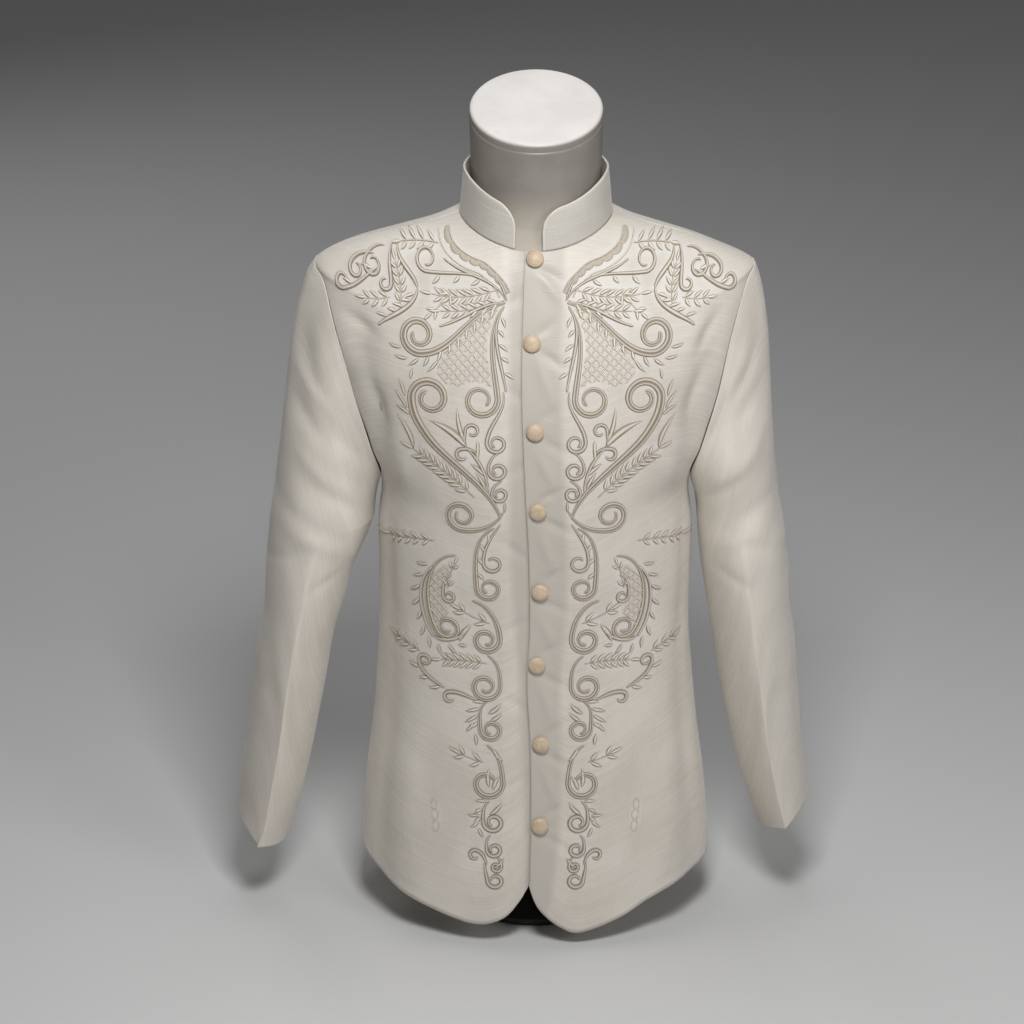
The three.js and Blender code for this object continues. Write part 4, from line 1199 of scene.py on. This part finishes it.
# ---------------------------------------------------------------- materials
class Signal:
    """One output of a material's node. Sums, differences, products and quotients with it add Math nodes."""

    def __init__(self, nodes, socket):
        self.nodes, self.socket = nodes, socket

    def math(self, operation, *values):
        sockets = dict(enumerate(values or (self,)))
        return self.nodes.add("ShaderNodeMath", {"operation": operation}, sockets)

    def __add__(self, other):
        return self.math("ADD", self, other)

    __radd__ = __add__

    def __sub__(self, other):
        return self.math("SUBTRACT", self, other)

    def __rsub__(self, other):
        return self.math("SUBTRACT", other, self)

    def __mul__(self, other):
        return self.math("MULTIPLY", self, other)

    __rmul__ = __mul__

    def __truediv__(self, other):
        return self.math("DIVIDE", self, other)

    def __rtruediv__(self, other):
        return self.math("DIVIDE", other, self)

    def between(self, low, high):
        """0 where the value is below low and 1 above high, smoothly between."""
        settings = {"interpolation_type": "SMOOTHSTEP"}
        sockets = {"Value": self, "From Min": low, "From Max": high}
        return self.nodes.add("ShaderNodeMapRange", settings, sockets)


class Finish:
    """A material's nodes. add() makes any node from its type, its settings and its sockets' values or signals."""

    def __init__(self, name):
        self.material = bpy.data.materials.new(name)
        self.material.use_nodes = True
        self.tree = self.material.node_tree
        self.tree.nodes.clear()

    def add(self, kind, settings=None, sockets=None, output=0):
        node = self.tree.nodes.new(kind)
        for key, value in (settings or {}).items():
            setattr(node, key, value)
        for key, value in (sockets or {}).items():
            if isinstance(value, Signal):
                self.tree.links.new(value.socket, node.inputs[key])
            else:
                node.inputs[key].default_value = value
        return Signal(self, node.outputs[output])

    def mix(self, factor, a, b):
        """A colour between a and b by a factor from 0 to 1."""
        sockets = {0: factor, 6: a, 7: b}
        return self.add("ShaderNodeMix", {"data_type": "RGBA"}, sockets, output=2)

    def noise(self, vector, scale, detail=2.0, roughness=0.5):
        sockets = {"Vector": vector, "Scale": scale, "Detail": detail, "Roughness": roughness}
        return self.add("ShaderNodeTexNoise", {"noise_dimensions": "3D"}, sockets)

    def stretched(self, vector, scale):
        """The vector multiplied by a scale for each axis."""
        return self.add("ShaderNodeVectorMath", {"operation": "MULTIPLY"}, {0: vector, 1: scale})

    def parts(self, vector):
        """The three numbers of a vector."""
        node = self.add("ShaderNodeSeparateXYZ", None, {0: vector}).socket.node
        return [Signal(self, output) for output in node.outputs]

    def surface(self, colour, roughness, height=None, depth=0.0005, strength=0.5, constants=None):
        """The shader itself: colour, roughness and a bump from height, and constants set on its own sockets."""
        sockets = {"Base Color": colour, "Roughness": roughness, **(constants or {})}
        if height is not None:
            bumped = {"Height": height, "Distance": depth, "Strength": strength}
            sockets["Normal"] = self.add("ShaderNodeBump", None, bumped)
        shader = self.add("ShaderNodeBsdfPrincipled", None, sockets)
        self.add_output(shader)
        return self.material

    def add_output(self, shader):
        output = self.tree.nodes.new("ShaderNodeOutputMaterial")
        self.tree.links.new(shader.socket, output.inputs["Surface"])


def colour(value):
    return (*value, 1.0)


def cloth_coordinates(made):
    return made.add("ShaderNodeUVMap", {"uv_map": "cloth"})


def jusi_material(name, light, shade, band=0.0, glow=None, hem=0.0):
    """Jusi cloth: a fine plain weave with uneven slub yarns both ways, a soft sheen and a slow change of tone.
    Within band metres of the closing edge it is smoother and darker. Inside the embroidery the ground is whiter,
    and in a net's outline warmer. Up to hem metres it is double, a step higher and deeper in tone, and along a
    pressed line it is paler, a painted highlight on the crease's ridge."""
    made = Finish(name)
    uv = cloth_coordinates(made)
    warp = made.noise(made.stretched(uv, (1150.0, 26.0, 1.0)), 1.0, 2.0, 0.6)
    weft = made.noise(made.stretched(uv, (30.0, 1000.0, 1.0)), 1.0, 2.0, 0.6)
    slub = made.noise(made.stretched(uv, (8.0, 420.0, 1.0)), 1.0, 1.0, 0.5)
    cloudy = made.noise(uv, 11.0, 3.0, 0.55)
    threads = warp * 0.5 + weft * 0.5
    tone = threads * 0.30 + slub * 0.22 + cloudy * 0.48
    base = made.mix(tone.between(0.36, 0.64), colour(shade), colour(light))
    rough = 0.62 - threads.between(0.35, 0.65) * 0.10
    if glow:
        ground = made.add("ShaderNodeAttribute", {"attribute_name": "ground"}, None, output=2)
        base = made.mix(ground * 0.85, base, colour(glow))
        netted = made.add("ShaderNodeAttribute", {"attribute_name": "netted"}, None, output=2)
        base = made.mix(netted * 0.6, base, colour((glow[0] * 0.86, glow[1] * 0.81, glow[2] * 0.75)))
        rough = rough - ground * 0.06
    if band:
        u = made.parts(uv)[0]
        edge = 1 - u.between(band * 0.75, band)
        rough = rough - edge * 0.14
        base = made.mix(edge * 0.85, base, colour([c * 0.88 for c in shade]))
    height = threads * 0.6 + slub.between(0.45, 0.75) * 0.5
    if hem:
        above = made.add("ShaderNodeAttribute", {"attribute_name": "above_hem"}, None, output=2)
        turned = 1 - above.between(hem - 0.0006, hem + 0.0006)
        pressed = made.add("ShaderNodeAttribute", {"attribute_name": "pressed"}, None, output=2)
        base = made.mix(turned * 0.12, base, colour(shade))
        # The pressed crease of the sleeve's front is painted paler: a painted highlight on its ridge.
        base = made.mix(pressed.between(0.75, 0.98) * 0.30, base, colour([min(1, c * 1.12) for c in light]))
        height = height + turned * 0.9
    constants = {"Sheen Weight": 0.25, "Sheen Roughness": 0.4, "Specular IOR Level": 0.45}
    return made.surface(base, rough, height, 0.0004, 0.45, constants)


def thread_material(name, light, dark):
    """Raised satin stitch: fine slanting stitches across each cord, with a painted highlight on each ridge and
    painted shade at its foot, over the thread's own tone. The second number of the map counts ridges across the
    cord, so the ridge is the square of its half-turn sine."""
    made = Finish(name)
    uv = cloth_coordinates(made)
    wave = (made.parts(uv)[1] * math.pi).math("SINE")
    ridge = (wave * wave).between(0.3, 0.95)
    tone = made.add("ShaderNodeAttribute", {"attribute_name": "tone"}, None, output=2)
    stitch = made.add(
        "ShaderNodeTexWave",
        {"wave_type": "BANDS", "bands_direction": "X"},
        {"Vector": made.stretched(uv, (1.0, 0.0012, 0.0)), "Scale": 420.0, "Distortion": 1.5, "Detail": 1.0},
    )
    patchy = made.noise(uv, 60.0, 2.0, 0.5)
    # Painted light: the ridge is painted pale as a painted highlight and the foot dark as painted shade; tone and
    # patchy are the thread's own.
    thread_tone_and_painted_light = ridge * (tone * 0.45 + 0.42) + tone * 0.25 + patchy.between(0.3, 0.7) * 0.12
    base = made.mix(made.add("ShaderNodeClamp", None, {0: thread_tone_and_painted_light}), colour(dark), colour(light))
    constants = {"Sheen Weight": 0.15, "Specular IOR Level": 0.5}
    return made.surface(base, 0.5 - ridge * 0.2, stitch, 0.0003, 0.5, constants)


def covered_material(name, light, shade):
    """Satin stretched over a button: fine threads across it and a soft mottling."""
    made = Finish(name)
    place = made.add("ShaderNodeTexCoord", None, None, output=3)
    lines = made.noise(made.stretched(place, (1500.0, 1500.0, 90.0)), 1.0, 2.0, 0.6)
    cross = made.noise(made.stretched(place, (160.0, 160.0, 1400.0)), 1.0, 2.0, 0.6)
    tone = lines * 0.5 + cross * 0.25 + made.noise(place, 90.0) * 0.25
    base = made.mix(tone.between(0.35, 0.65), colour(shade), colour(light))
    constants = {"Sheen Weight": 0.2, "Specular IOR Level": 0.5}
    return made.surface(base, 0.46, tone, 0.0003, 0.5, constants)


def satin_material(name, light):
    """Satin of a turned edge: smooth, with faint threads and a soft gloss."""
    made = Finish(name)
    place = made.add("ShaderNodeTexCoord", None, None, output=3)
    lines = made.noise(made.stretched(place, (900.0, 900.0, 1400.0)), 1.0, 2.0, 0.6)
    base = made.mix(lines.between(0.3, 0.7), colour([c * 0.9 for c in light]), colour(light))
    return made.surface(base, 0.38, lines, 0.0002, 0.4, {"Sheen Weight": 0.2, "Specular IOR Level": 0.5})


def form_material(name, light, shade, band, low, high, tilt=0.0):
    """The form's satin paint: faint mottling, small dull scuffs, and a slight orange-peel surface. It changes to
    another tone between two levels, where a level is the height less the tilt times the depth. Its two tones stand
    in for light: the neck's dark paint is painted shade and its paler foot painted bounce light, and the lid's pale
    top is painted top light over a side in the neck's painted-shade tone."""
    made = Finish(name)
    place = made.add("ShaderNodeTexCoord", None, None, output=3)
    mottle = made.noise(place, 16.0, 4.0, 0.6)
    scuff = made.noise(made.stretched(place, (30.0, 30.0, 90.0)), 1.0, 5.0, 0.7).between(0.60, 0.70)
    base = made.mix(mottle.between(0.35, 0.65), colour(shade), colour(light))
    base = made.mix(scuff * 0.25, base, colour([c * 0.82 for c in shade]))
    _, y, z = made.parts(place)
    # Below the levels the paint takes the band tone: painted bounce light at the neck's foot, and the neck's
    # painted-shade tone on the lid's side.
    base = made.mix((z - y * tilt).between(low, high), colour(band), base)
    rough = 0.40 + scuff * 0.2
    height = made.noise(place, 420.0, 2.0, 0.5) * 0.6 + mottle
    return made.surface(base, rough, height, 0.0006, 0.25, {"Specular IOR Level": 0.5})


def steel_material(name, paint):
    """Black powder coat: a fine pebbled surface with a dull sheen."""
    made = Finish(name)
    place = made.add("ShaderNodeTexCoord", None, None, output=3)
    grain = made.noise(place, 900.0, 2.0, 0.6)
    worn = made.noise(place, 22.0, 4.0, 0.6).between(0.5, 0.8)
    base = made.mix(worn * 0.5, colour(paint), colour([c * 2.2 for c in paint]))
    return made.surface(base, 0.42 + worn * 0.15, grain, 0.0003, 0.4, {"Specular IOR Level": 0.4})


def floor_material(name, paint):
    """A pale studio floor with the faintest unevenness of tone."""
    made = Finish(name)
    place = made.add("ShaderNodeTexCoord", None, None, output=3)
    tone = made.noise(place, 1.3, 3.0, 0.5)
    base = made.mix(tone, colour(paint), colour([min(1.0, c * 1.04) for c in paint]))
    return made.surface(base, 0.75, None)


# ---------------------------------------------------------------- settings
def length_setting(label, about, value):
    return FloatProperty(name=label, description=about, default=value, unit="LENGTH", subtype="DISTANCE")


def colour_setting(label, about, value):
    return FloatVectorProperty(
        name=label, description=about, default=value, subtype="COLOR", size=3, min=0.0, max=1.0
    )


class BarongSizes(bpy.types.PropertyGroup):
    """Sizes that a user would change."""

    button_radius: length_setting("Button radius", "Radius of a covered button", 8.8 * MM)
    button_height: length_setting("Button height", "How far a button's dome stands out", 5.5 * MM)
    piping: length_setting("Collar edge", "Radius of the turned top edge of the collar", 1.3 * MM)


class BarongColours(bpy.types.PropertyGroup):
    """Colours of the cloth, thread, buttons, form and stage."""

    cloth: colour_setting("Cloth", "Light tone of the jusi cloth", (0.755, 0.705, 0.633))
    cloth_shade: colour_setting("Cloth shade", "Dark tone of the jusi cloth", (0.62, 0.574, 0.506))
    ground: colour_setting("Embroidery ground", "Cloth inside the embroidery", (0.75, 0.72, 0.67))
    # thread is the thread's pale tone and also its painted ridge highlight; the next colour is painted shade at
    # each cord's foot.
    thread: colour_setting("Thread", "Pale tone of the embroidery thread, also its painted ridge highlight", (0.86, 0.79, 0.68))
    cord_foot_painted_shade: colour_setting("Thread shade", "Painted shade at the foot of each cord", (0.21, 0.155, 0.10))
    collar: colour_setting("Collar", "Light tone of the collar", (0.64, 0.605, 0.55))
    collar_shade: colour_setting("Collar shade", "Dark tone of the collar", (0.54, 0.51, 0.46))
    edge: colour_setting("Collar edge", "Turned satin edge of the collar", (0.74, 0.70, 0.62))
    button: colour_setting("Button", "Light tone of the buttons", (0.71, 0.57, 0.42))
    button_shade: colour_setting("Button shade", "Dark tone of the buttons", (0.52, 0.385, 0.25))
    # The form and lid tones are shaded and lit copies of one paint: form is darkened as painted shade on the neck,
    # and lid is painted top light on the lid's top.
    form: colour_setting("Form", "Dark paint of the dress form, painted shade on the neck", (0.275, 0.252, 0.226))
    form_shade: colour_setting("Form shade", "Mottling of the form's paint", (0.23, 0.21, 0.188))
    # foot is painted bounce light: the neck below the collar is painted paler.
    foot: colour_setting("Neck's foot, painted bounce light", "Painted bounce light at the foot of the neck", (0.50, 0.46, 0.385))
    lid: colour_setting("Lid", "Pale lid top, painted top light on the form's paint", (0.76, 0.73, 0.70))
    lid_shade: colour_setting("Lid shade", "Mottling of the lid's paint", (0.70, 0.66, 0.63))
    steel: colour_setting("Stand", "Powder coat of the stand", (0.018, 0.018, 0.02))
    floor: colour_setting("Floor", "Studio floor", (0.70, 0.70, 0.70))


class BarongStage(bpy.types.PropertyGroup):
    """Camera and light."""

    lens: FloatProperty(name="Lens", description="Focal length in millimetres", default=136.6)
    distance: length_setting("Distance", "From the object to the camera, along the floor", 3.7343)
    height: length_setting("Height", "Height of the camera", 1.8635)
    key: FloatProperty(name="Key light", description="Power of the main light in watts", default=21.5)
    fill: FloatProperty(name="Fill light", description="Power of the second light in watts", default=18.0)


# ---------------------------------------------------------------- operators
class BARONG_OT_fronts(bpy.types.Operator):
    """Makes the two front panels"""

    bl_idname = "barong.fronts"
    bl_label = "Fronts"

    def execute(self, context):
        colours = context.scene.barong_colours
        strokes = embroidery_strokes()
        for name, side in (("left", 1), ("right", -1)):
            row, angle = front_grid(side)
            outer = front_outer(side, row, angle)
            outer[:, -1, 1] -= SEAM_GAP / 2
            inner = outer - grid_normals(outer) * side * WALL
            chart = outer[..., [0, 2]] * (side, 1)
            netted = sum(inside(outline, chart.reshape(-1, 2)) for outline in NETS).reshape(row.shape)
            ground = ground_share(strokes, chart[..., 0], chart[..., 1])
            shares = {"ground": ground, "netted": netted.astype(float)}
            piece = facing_out(sheet_piece(f"coat_front_{name}", outer, inner, attributes=shares))
            material = jusi_material(
                f"jusi front {name}", colours.cloth, colours.cloth_shade, band=0.045, glow=colours.ground
            )
            finish(piece, material, "cloth", f"front_{name}")
        return {"FINISHED"}


class BARONG_OT_embroidery(bpy.types.Operator):
    """Makes the raised embroidery of the two fronts"""

    bl_idname = "barong.embroidery"
    bl_label = "Embroidery"

    def execute(self, context):
        colours = context.scene.barong_colours
        material = thread_material("embroidery thread", colours.thread, colours.cord_foot_painted_shade)
        strokes = embroidery_strokes()
        for name, side in (("left", 1), ("right", -1)):
            nodes = [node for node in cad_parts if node.startswith(f"scroll_{name}_")]
            piece = stroke_piece(f"embroidery_relief_{name}", side, strokes)
            finish(piece, material, "embroidery_thread", *nodes)
        return {"FINISHED"}


class BARONG_OT_back(bpy.types.Operator):
    """Makes the back panel"""

    bl_idname = "barong.back"
    bl_label = "Back"

    def execute(self, context):
        colours = context.scene.barong_colours
        row, angle, side = back_grid()
        outer = back_outer(row, angle, side + np.zeros_like(row))
        outer[:, [0, -1], 1] += SEAM_GAP / 2
        inner = outer + grid_normals(outer) * WALL
        piece = facing_out(sheet_piece("coat_back", outer, inner))
        material = jusi_material("jusi back", colours.cloth, colours.cloth_shade)
        finish(piece, material, "cloth", "back")
        return {"FINISHED"}


class BARONG_OT_sleeves(bpy.types.Operator):
    """Makes the two set-in sleeves with their pressed creases and turned-up hems"""

    bl_idname = "barong.sleeves"
    bl_label = "Sleeves"

    def execute(self, context):
        colours = context.scene.barong_colours
        for name, sleeve in SLEEVES.items():
            rings, turn = sleeve_rings(sleeve)
            inner = moved_rings(rings, np.full(rings.shape[:2], -WALL))
            side = sleeve["side"]
            marks = {
                "above_hem": (rings[..., 2] - rings[-1, :, 2]) * MM,
                # Mask of the sleeve's front crease, painted paler as a painted highlight on its ridge.
                "pressed": np.maximum(0, np.sin(turn)) ** 40 * smoothstep(-rings[..., 2], -520, -400),
            }
            outer, under = mirrored(rings, side), mirrored(inner, side)
            piece = facing_out(sheet_piece(f"coat_sleeve_{name}", outer, under, True, marks))
            material = jusi_material(f"jusi sleeve {name}", colours.cloth, colours.cloth_shade, hem=CUFF_HEM * MM)
            finish(piece, material, "cloth", f"sleeve_{name}")
        return {"FINISHED"}


class BARONG_OT_collar(bpy.types.Operator):
    """Makes the standing collar with its rounded ends"""

    bl_idname = "barong.collar"
    bl_label = "Collar"

    def execute(self, context):
        colours = context.scene.barong_colours
        half_width, front = BODY["half_width"][NECK_ROW], BODY["front"][NECK_ROW]
        start = -math.pi / 2 + math.asin(COLLAR_END["left"] / half_width)
        stop = -math.pi / 2 + math.asin(COLLAR_END["right"] / half_width) + 2 * math.pi
        t = np.linspace(0, 1, 181)
        eased = t - 0.55 * np.sin(2 * np.pi * t) / (2 * np.pi)
        angle = start + eased * (stop - start)
        foot = body_form(float(NECK_ROW), angle)
        outward = unit(np.stack([foot[:, 0] / half_width, foot[:, 1] / front, np.zeros_like(t)], axis=-1))
        from_end = np.minimum(eased, 1 - eased) * (stop - start) * half_width
        rounding = np.maximum(0, 1 - from_end / COLLAR_CORNER["reach"])
        facing = np.maximum(0, -np.sin(angle)) ** 2
        full = COLLAR_HEIGHT["back"] + facing * (COLLAR_HEIGHT["front"] - COLLAR_HEIGHT["back"])
        height = COLLAR_CORNER["start"] + np.sqrt(1 - rounding**2) * (full - COLLAR_CORNER["start"])
        share = np.linspace(0, 1, 19)[:, None]
        lean = COLLAR_LEAN * share * height / full
        outer = foot - outward * lean[..., None]
        outer[..., 2] += SEAM_GAP + share * height
        inner = outer - outward * COLLAR_WALL
        piece = facing_out(sheet_piece("coat_collar", outer, inner))
        material = jusi_material("jusi collar", colours.collar, colours.collar_shade)
        finish(piece, material, "collar_cloth", "collar")
        edge = np.concatenate([outer[:-1, 0], outer[-1], outer[-2::-1, -1]])
        first, last = (np.repeat(end, len(share) - 1, axis=0) for end in (outward[:1], outward[-1:]))
        facing = np.concatenate([first, outward, last])
        radius = context.scene.barong_sizes.piping / MM
        rim = piped_edge("collar_edge", edge, facing, radius)
        finish(rim, satin_material("edge satin", colours.edge), "collar_cloth")
        return {"FINISHED"}


class BARONG_OT_buttons(bpy.types.Operator):
    """Makes the eight covered buttons"""

    bl_idname = "barong.buttons"
    bl_label = "Buttons"

    def execute(self, context):
        sizes, colours = context.scene.barong_sizes, context.scene.barong_colours
        radius, height = sizes.button_radius / MM, sizes.button_height / MM
        material = covered_material("button satin", colours.button, colours.button_shade)
        dome = np.linspace(0, math.pi / 2, 12)
        under = [(0.0, 0.0), (radius * 0.78, 0.0), (radius * 0.93, height * 0.12)]
        over = np.stack([radius * np.cos(dome), height * (0.3 + 0.7 * np.sin(dome) ** 1.1)], axis=-1)
        profile = np.concatenate([under, over[:-1]])
        for k, (z, x) in enumerate(zip(BUTTONS["z"], BUTTONS["x"])):
            row = row_at(BODY, "front_z", z)
            ratio = (abs(x) / along(BODY, row, "half_width")) ** (along(BODY, row, "square") / 2)
            angle = -math.pi / 2 + math.copysign(math.asin(ratio), x)
            normal = Vector(body_normal(row, angle))
            turn = np.array(Vector((0, 0, 1)).rotation_difference(normal).to_matrix())
            dome_rings = revolved(profile, 40)[1:] @ turn.T
            rings = dome_rings + body_form(row, angle) + np.array(normal) * (SEAM_GAP + 0.3)
            finish(ring_piece(f"covered_button_{k + 1}", rings), material, "button_cloth", f"button_{k + 1}")
        return {"FINISHED"}


class BARONG_OT_form(bpy.types.Operator):
    """Makes the dress form's torso and neck and the neck's lid"""

    bl_idname = "barong.form"
    bl_label = "Dress form"

    def execute(self, context):
        colours = context.scene.barong_colours
        # The form's dark paint is painted shade on the neck; below the levels its foot is painted paler as painted
        # bounce light.
        material = form_material("form paint with painted shade", colours.form, colours.form_shade, colours.foot, 0.755, 0.805, 0.15)
        turn = 2 * np.pi * np.arange(112) / 112
        first = row_at(BODY, "z", TORSO_END)
        row = np.linspace(first, NECK_ROW - 0.15, 90)[:, None]
        torso = body_form(row, turn) - body_normal(row, turn) * FORM_CLEARANCE
        torso[0, :, 2] = TORSO_END
        share = np.linspace(0, 1, 24)[:, None]
        flare = NECK["flare"] * share**2
        x = (NECK["half_width"] + flare) * np.cos(turn)
        y = (NECK["half_depth"] + flare) * np.sin(turn)
        slope = math.radians(NECK_TOP["slope"])
        z = NECK_FOOT + (NECK_TOP["z"] - NECK_FOOT) * share + math.tan(slope) * y
        neck = np.stack(np.broadcast_arrays(x, NECK["middle_y"] + y, z), axis=-1)
        finish(ring_piece("form_body", np.concatenate([torso, neck])), material, "form", "form_torso")
        radius, thick, edge = NECK["half_width"] + NECK["flare"], CAP["thickness"], CAP["edge"]
        bend = np.linspace(0, math.pi / 2, 8)
        upper = np.stack([radius - edge * (1 - np.cos(bend)), thick - edge * (1 - np.sin(bend))], axis=-1)
        lower = [(radius, 0), (radius, 0.5)]
        profile = np.concatenate([[(radius * 0.5, 0)], lower, upper, [(radius * 0.5, thick)]])
        lid = revolved(profile, 112) * (1, (NECK["half_depth"] + NECK["flare"]) / math.cos(slope) / radius, 1)
        tilt = np.array([[1, 0, 0], [0, math.cos(slope), -math.sin(slope)], [0, math.sin(slope), math.cos(slope)]])
        placed = lid @ tilt.T + (0, NECK["middle_y"], NECK_TOP["z"])
        rim = np.array([thick - edge, thick]) / math.cos(slope)
        level = NECK_TOP["z"] - math.tan(slope) * NECK["middle_y"] + rim
        low, high = (level * MM).tolist()
        # The lid's pale top is painted top light; below the rim level its side takes the form's painted-shade tone.
        lid_lit_and_shaded_paint = form_material(
            "lid paint with painted light and shade", colours.lid, colours.lid_shade, colours.form, low, high, math.tan(slope)
        )
        finish(ring_piece("form_lid", placed), lid_lit_and_shaded_paint, "form", "neck_cap")
        return {"FINISHED"}


class BARONG_OT_stand(bpy.types.Operator):
    """Makes the stand's plate and post"""

    bl_idname = "barong.stand"
    bl_label = "Stand"

    def execute(self, context):
        material = steel_material("black powder coat", context.scene.barong_colours.steel)
        radius, thick, edge = PLATE["radius"], PLATE["thickness"], PLATE["edge"]
        bend = np.linspace(0, math.pi / 2, 6)
        upper = np.stack([radius - edge * (1 - np.cos(bend)), thick - edge * (1 - np.sin(bend))], axis=-1)
        lower = upper[::-1] * (1, -1) + (0, thick)
        plate = revolved(np.concatenate([[(20, 0)], lower, upper, [(20, thick)]]), 96)
        finish(ring_piece("stand_disc", plate), material, "black_steel", "stand_plate")
        top = TORSO_END - SEAM_GAP
        low = thick + SEAM_GAP
        post = revolved([(POST_RADIUS, low), (POST_RADIUS, (low + top) / 2), (POST_RADIUS, top)], 48)
        finish(ring_piece("stand_tube", post), material, "black_steel", "stand_post")
        return {"FINISHED"}


class BARONG_OT_stage(bpy.types.Operator):
    """Makes the camera, the pale floor and the soft studio light"""

    bl_idname = "barong.stage"
    bl_label = "Stage"

    def execute(self, context):
        stage, colours, scene = context.scene.barong_stage, context.scene.barong_colours, context.scene
        camera = bpy.data.cameras.new("view")
        camera.lens, camera.sensor_width, camera.clip_end = stage.lens, 36.0, 40.0
        eye = bpy.data.objects.new("view", camera)
        eye.location = (-0.024, -stage.distance, stage.height)
        aim = Vector((-0.024, 0.0, 0.43)) - eye.location
        eye.rotation_euler = aim.to_track_quat("-Z", "Y").to_euler()
        scene.collection.objects.link(eye)
        scene.camera = eye
        size = 14.0
        corners = np.array([[-1, -1, 0], [1, -1, 0], [1, 1, 0], [-1, 1, 0]]) * size / MM
        mesh = bpy.data.meshes.new("floor")
        mesh.from_pydata(corners * MM, [], [[0, 1, 2, 3]])
        mesh.materials.append(floor_material("studio floor", colours.floor))
        floor = bpy.data.objects.new("floor", mesh)
        scene.collection.objects.link(floor)
        for name, place, width, power in (
            ("key", (0.06, -1.24, 1.78), 0.45, stage.key),
            ("fill", (2.0, -2.2, 1.6), 1.2, stage.fill),
            ("top", (-0.1, 0.3, 2.3), 0.9, stage.fill / 3),
            ("rear", (-1.3, 2.6, 1.9), 1.4, stage.fill / 2),
        ):
            light = bpy.data.lights.new(name, "AREA")
            light.size, light.energy = width, power
            lamp = bpy.data.objects.new(name, light)
            lamp.location = place
            toward = Vector((0.0, 0.0, 0.6)) - lamp.location
            lamp.rotation_euler = toward.to_track_quat("-Z", "Y").to_euler()
            scene.collection.objects.link(lamp)
        world = bpy.data.worlds.new("studio")
        world.use_nodes = True
        world.node_tree.nodes["Background"].inputs[0].default_value = (0.85, 0.85, 0.85, 1.0)
        world.node_tree.nodes["Background"].inputs[1].default_value = 0.08
        scene.world = world
        scene.view_settings.view_transform = "Standard"
        return {"FINISHED"}


PIECES = (
    BARONG_OT_stage,
    BARONG_OT_fronts,
    BARONG_OT_embroidery,
    BARONG_OT_back,
    BARONG_OT_sleeves,
    BARONG_OT_collar,
    BARONG_OT_buttons,
    BARONG_OT_form,
    BARONG_OT_stand,
)


class BARONG_PT_panel(bpy.types.Panel):
    """Lists the coat's sizes, colours and pieces"""

    bl_idname = "BARONG_PT_panel"
    bl_label = "Barong coat"
    bl_space_type = "VIEW_3D"
    bl_region_type = "UI"
    bl_category = "Barong"

    def draw(self, context):
        for group in (context.scene.barong_sizes, context.scene.barong_colours, context.scene.barong_stage):
            for name in group.__annotations__:
                self.layout.prop(group, name)
        for piece in PIECES:
            self.layout.operator(piece.bl_idname)


CLASSES = (BarongSizes, BarongColours, BarongStage, *PIECES, BARONG_PT_panel)


def register():
    for made in CLASSES:
        bpy.utils.register_class(made)
    bpy.types.Scene.barong_sizes = PointerProperty(type=BarongSizes)
    bpy.types.Scene.barong_colours = PointerProperty(type=BarongColours)
    bpy.types.Scene.barong_stage = PointerProperty(type=BarongStage)


def unregister():
    for name in ("barong_sizes", "barong_colours", "barong_stage"):
        delattr(bpy.types.Scene, name)
    for made in reversed(CLASSES):
        bpy.utils.unregister_class(made)


def main():
    """Builds every piece in order."""
    register()
    for piece in PIECES:
        group, name = piece.bl_idname.split(".")
        getattr(getattr(bpy.ops, group), name)()


if __name__ == "__main__":
    main()
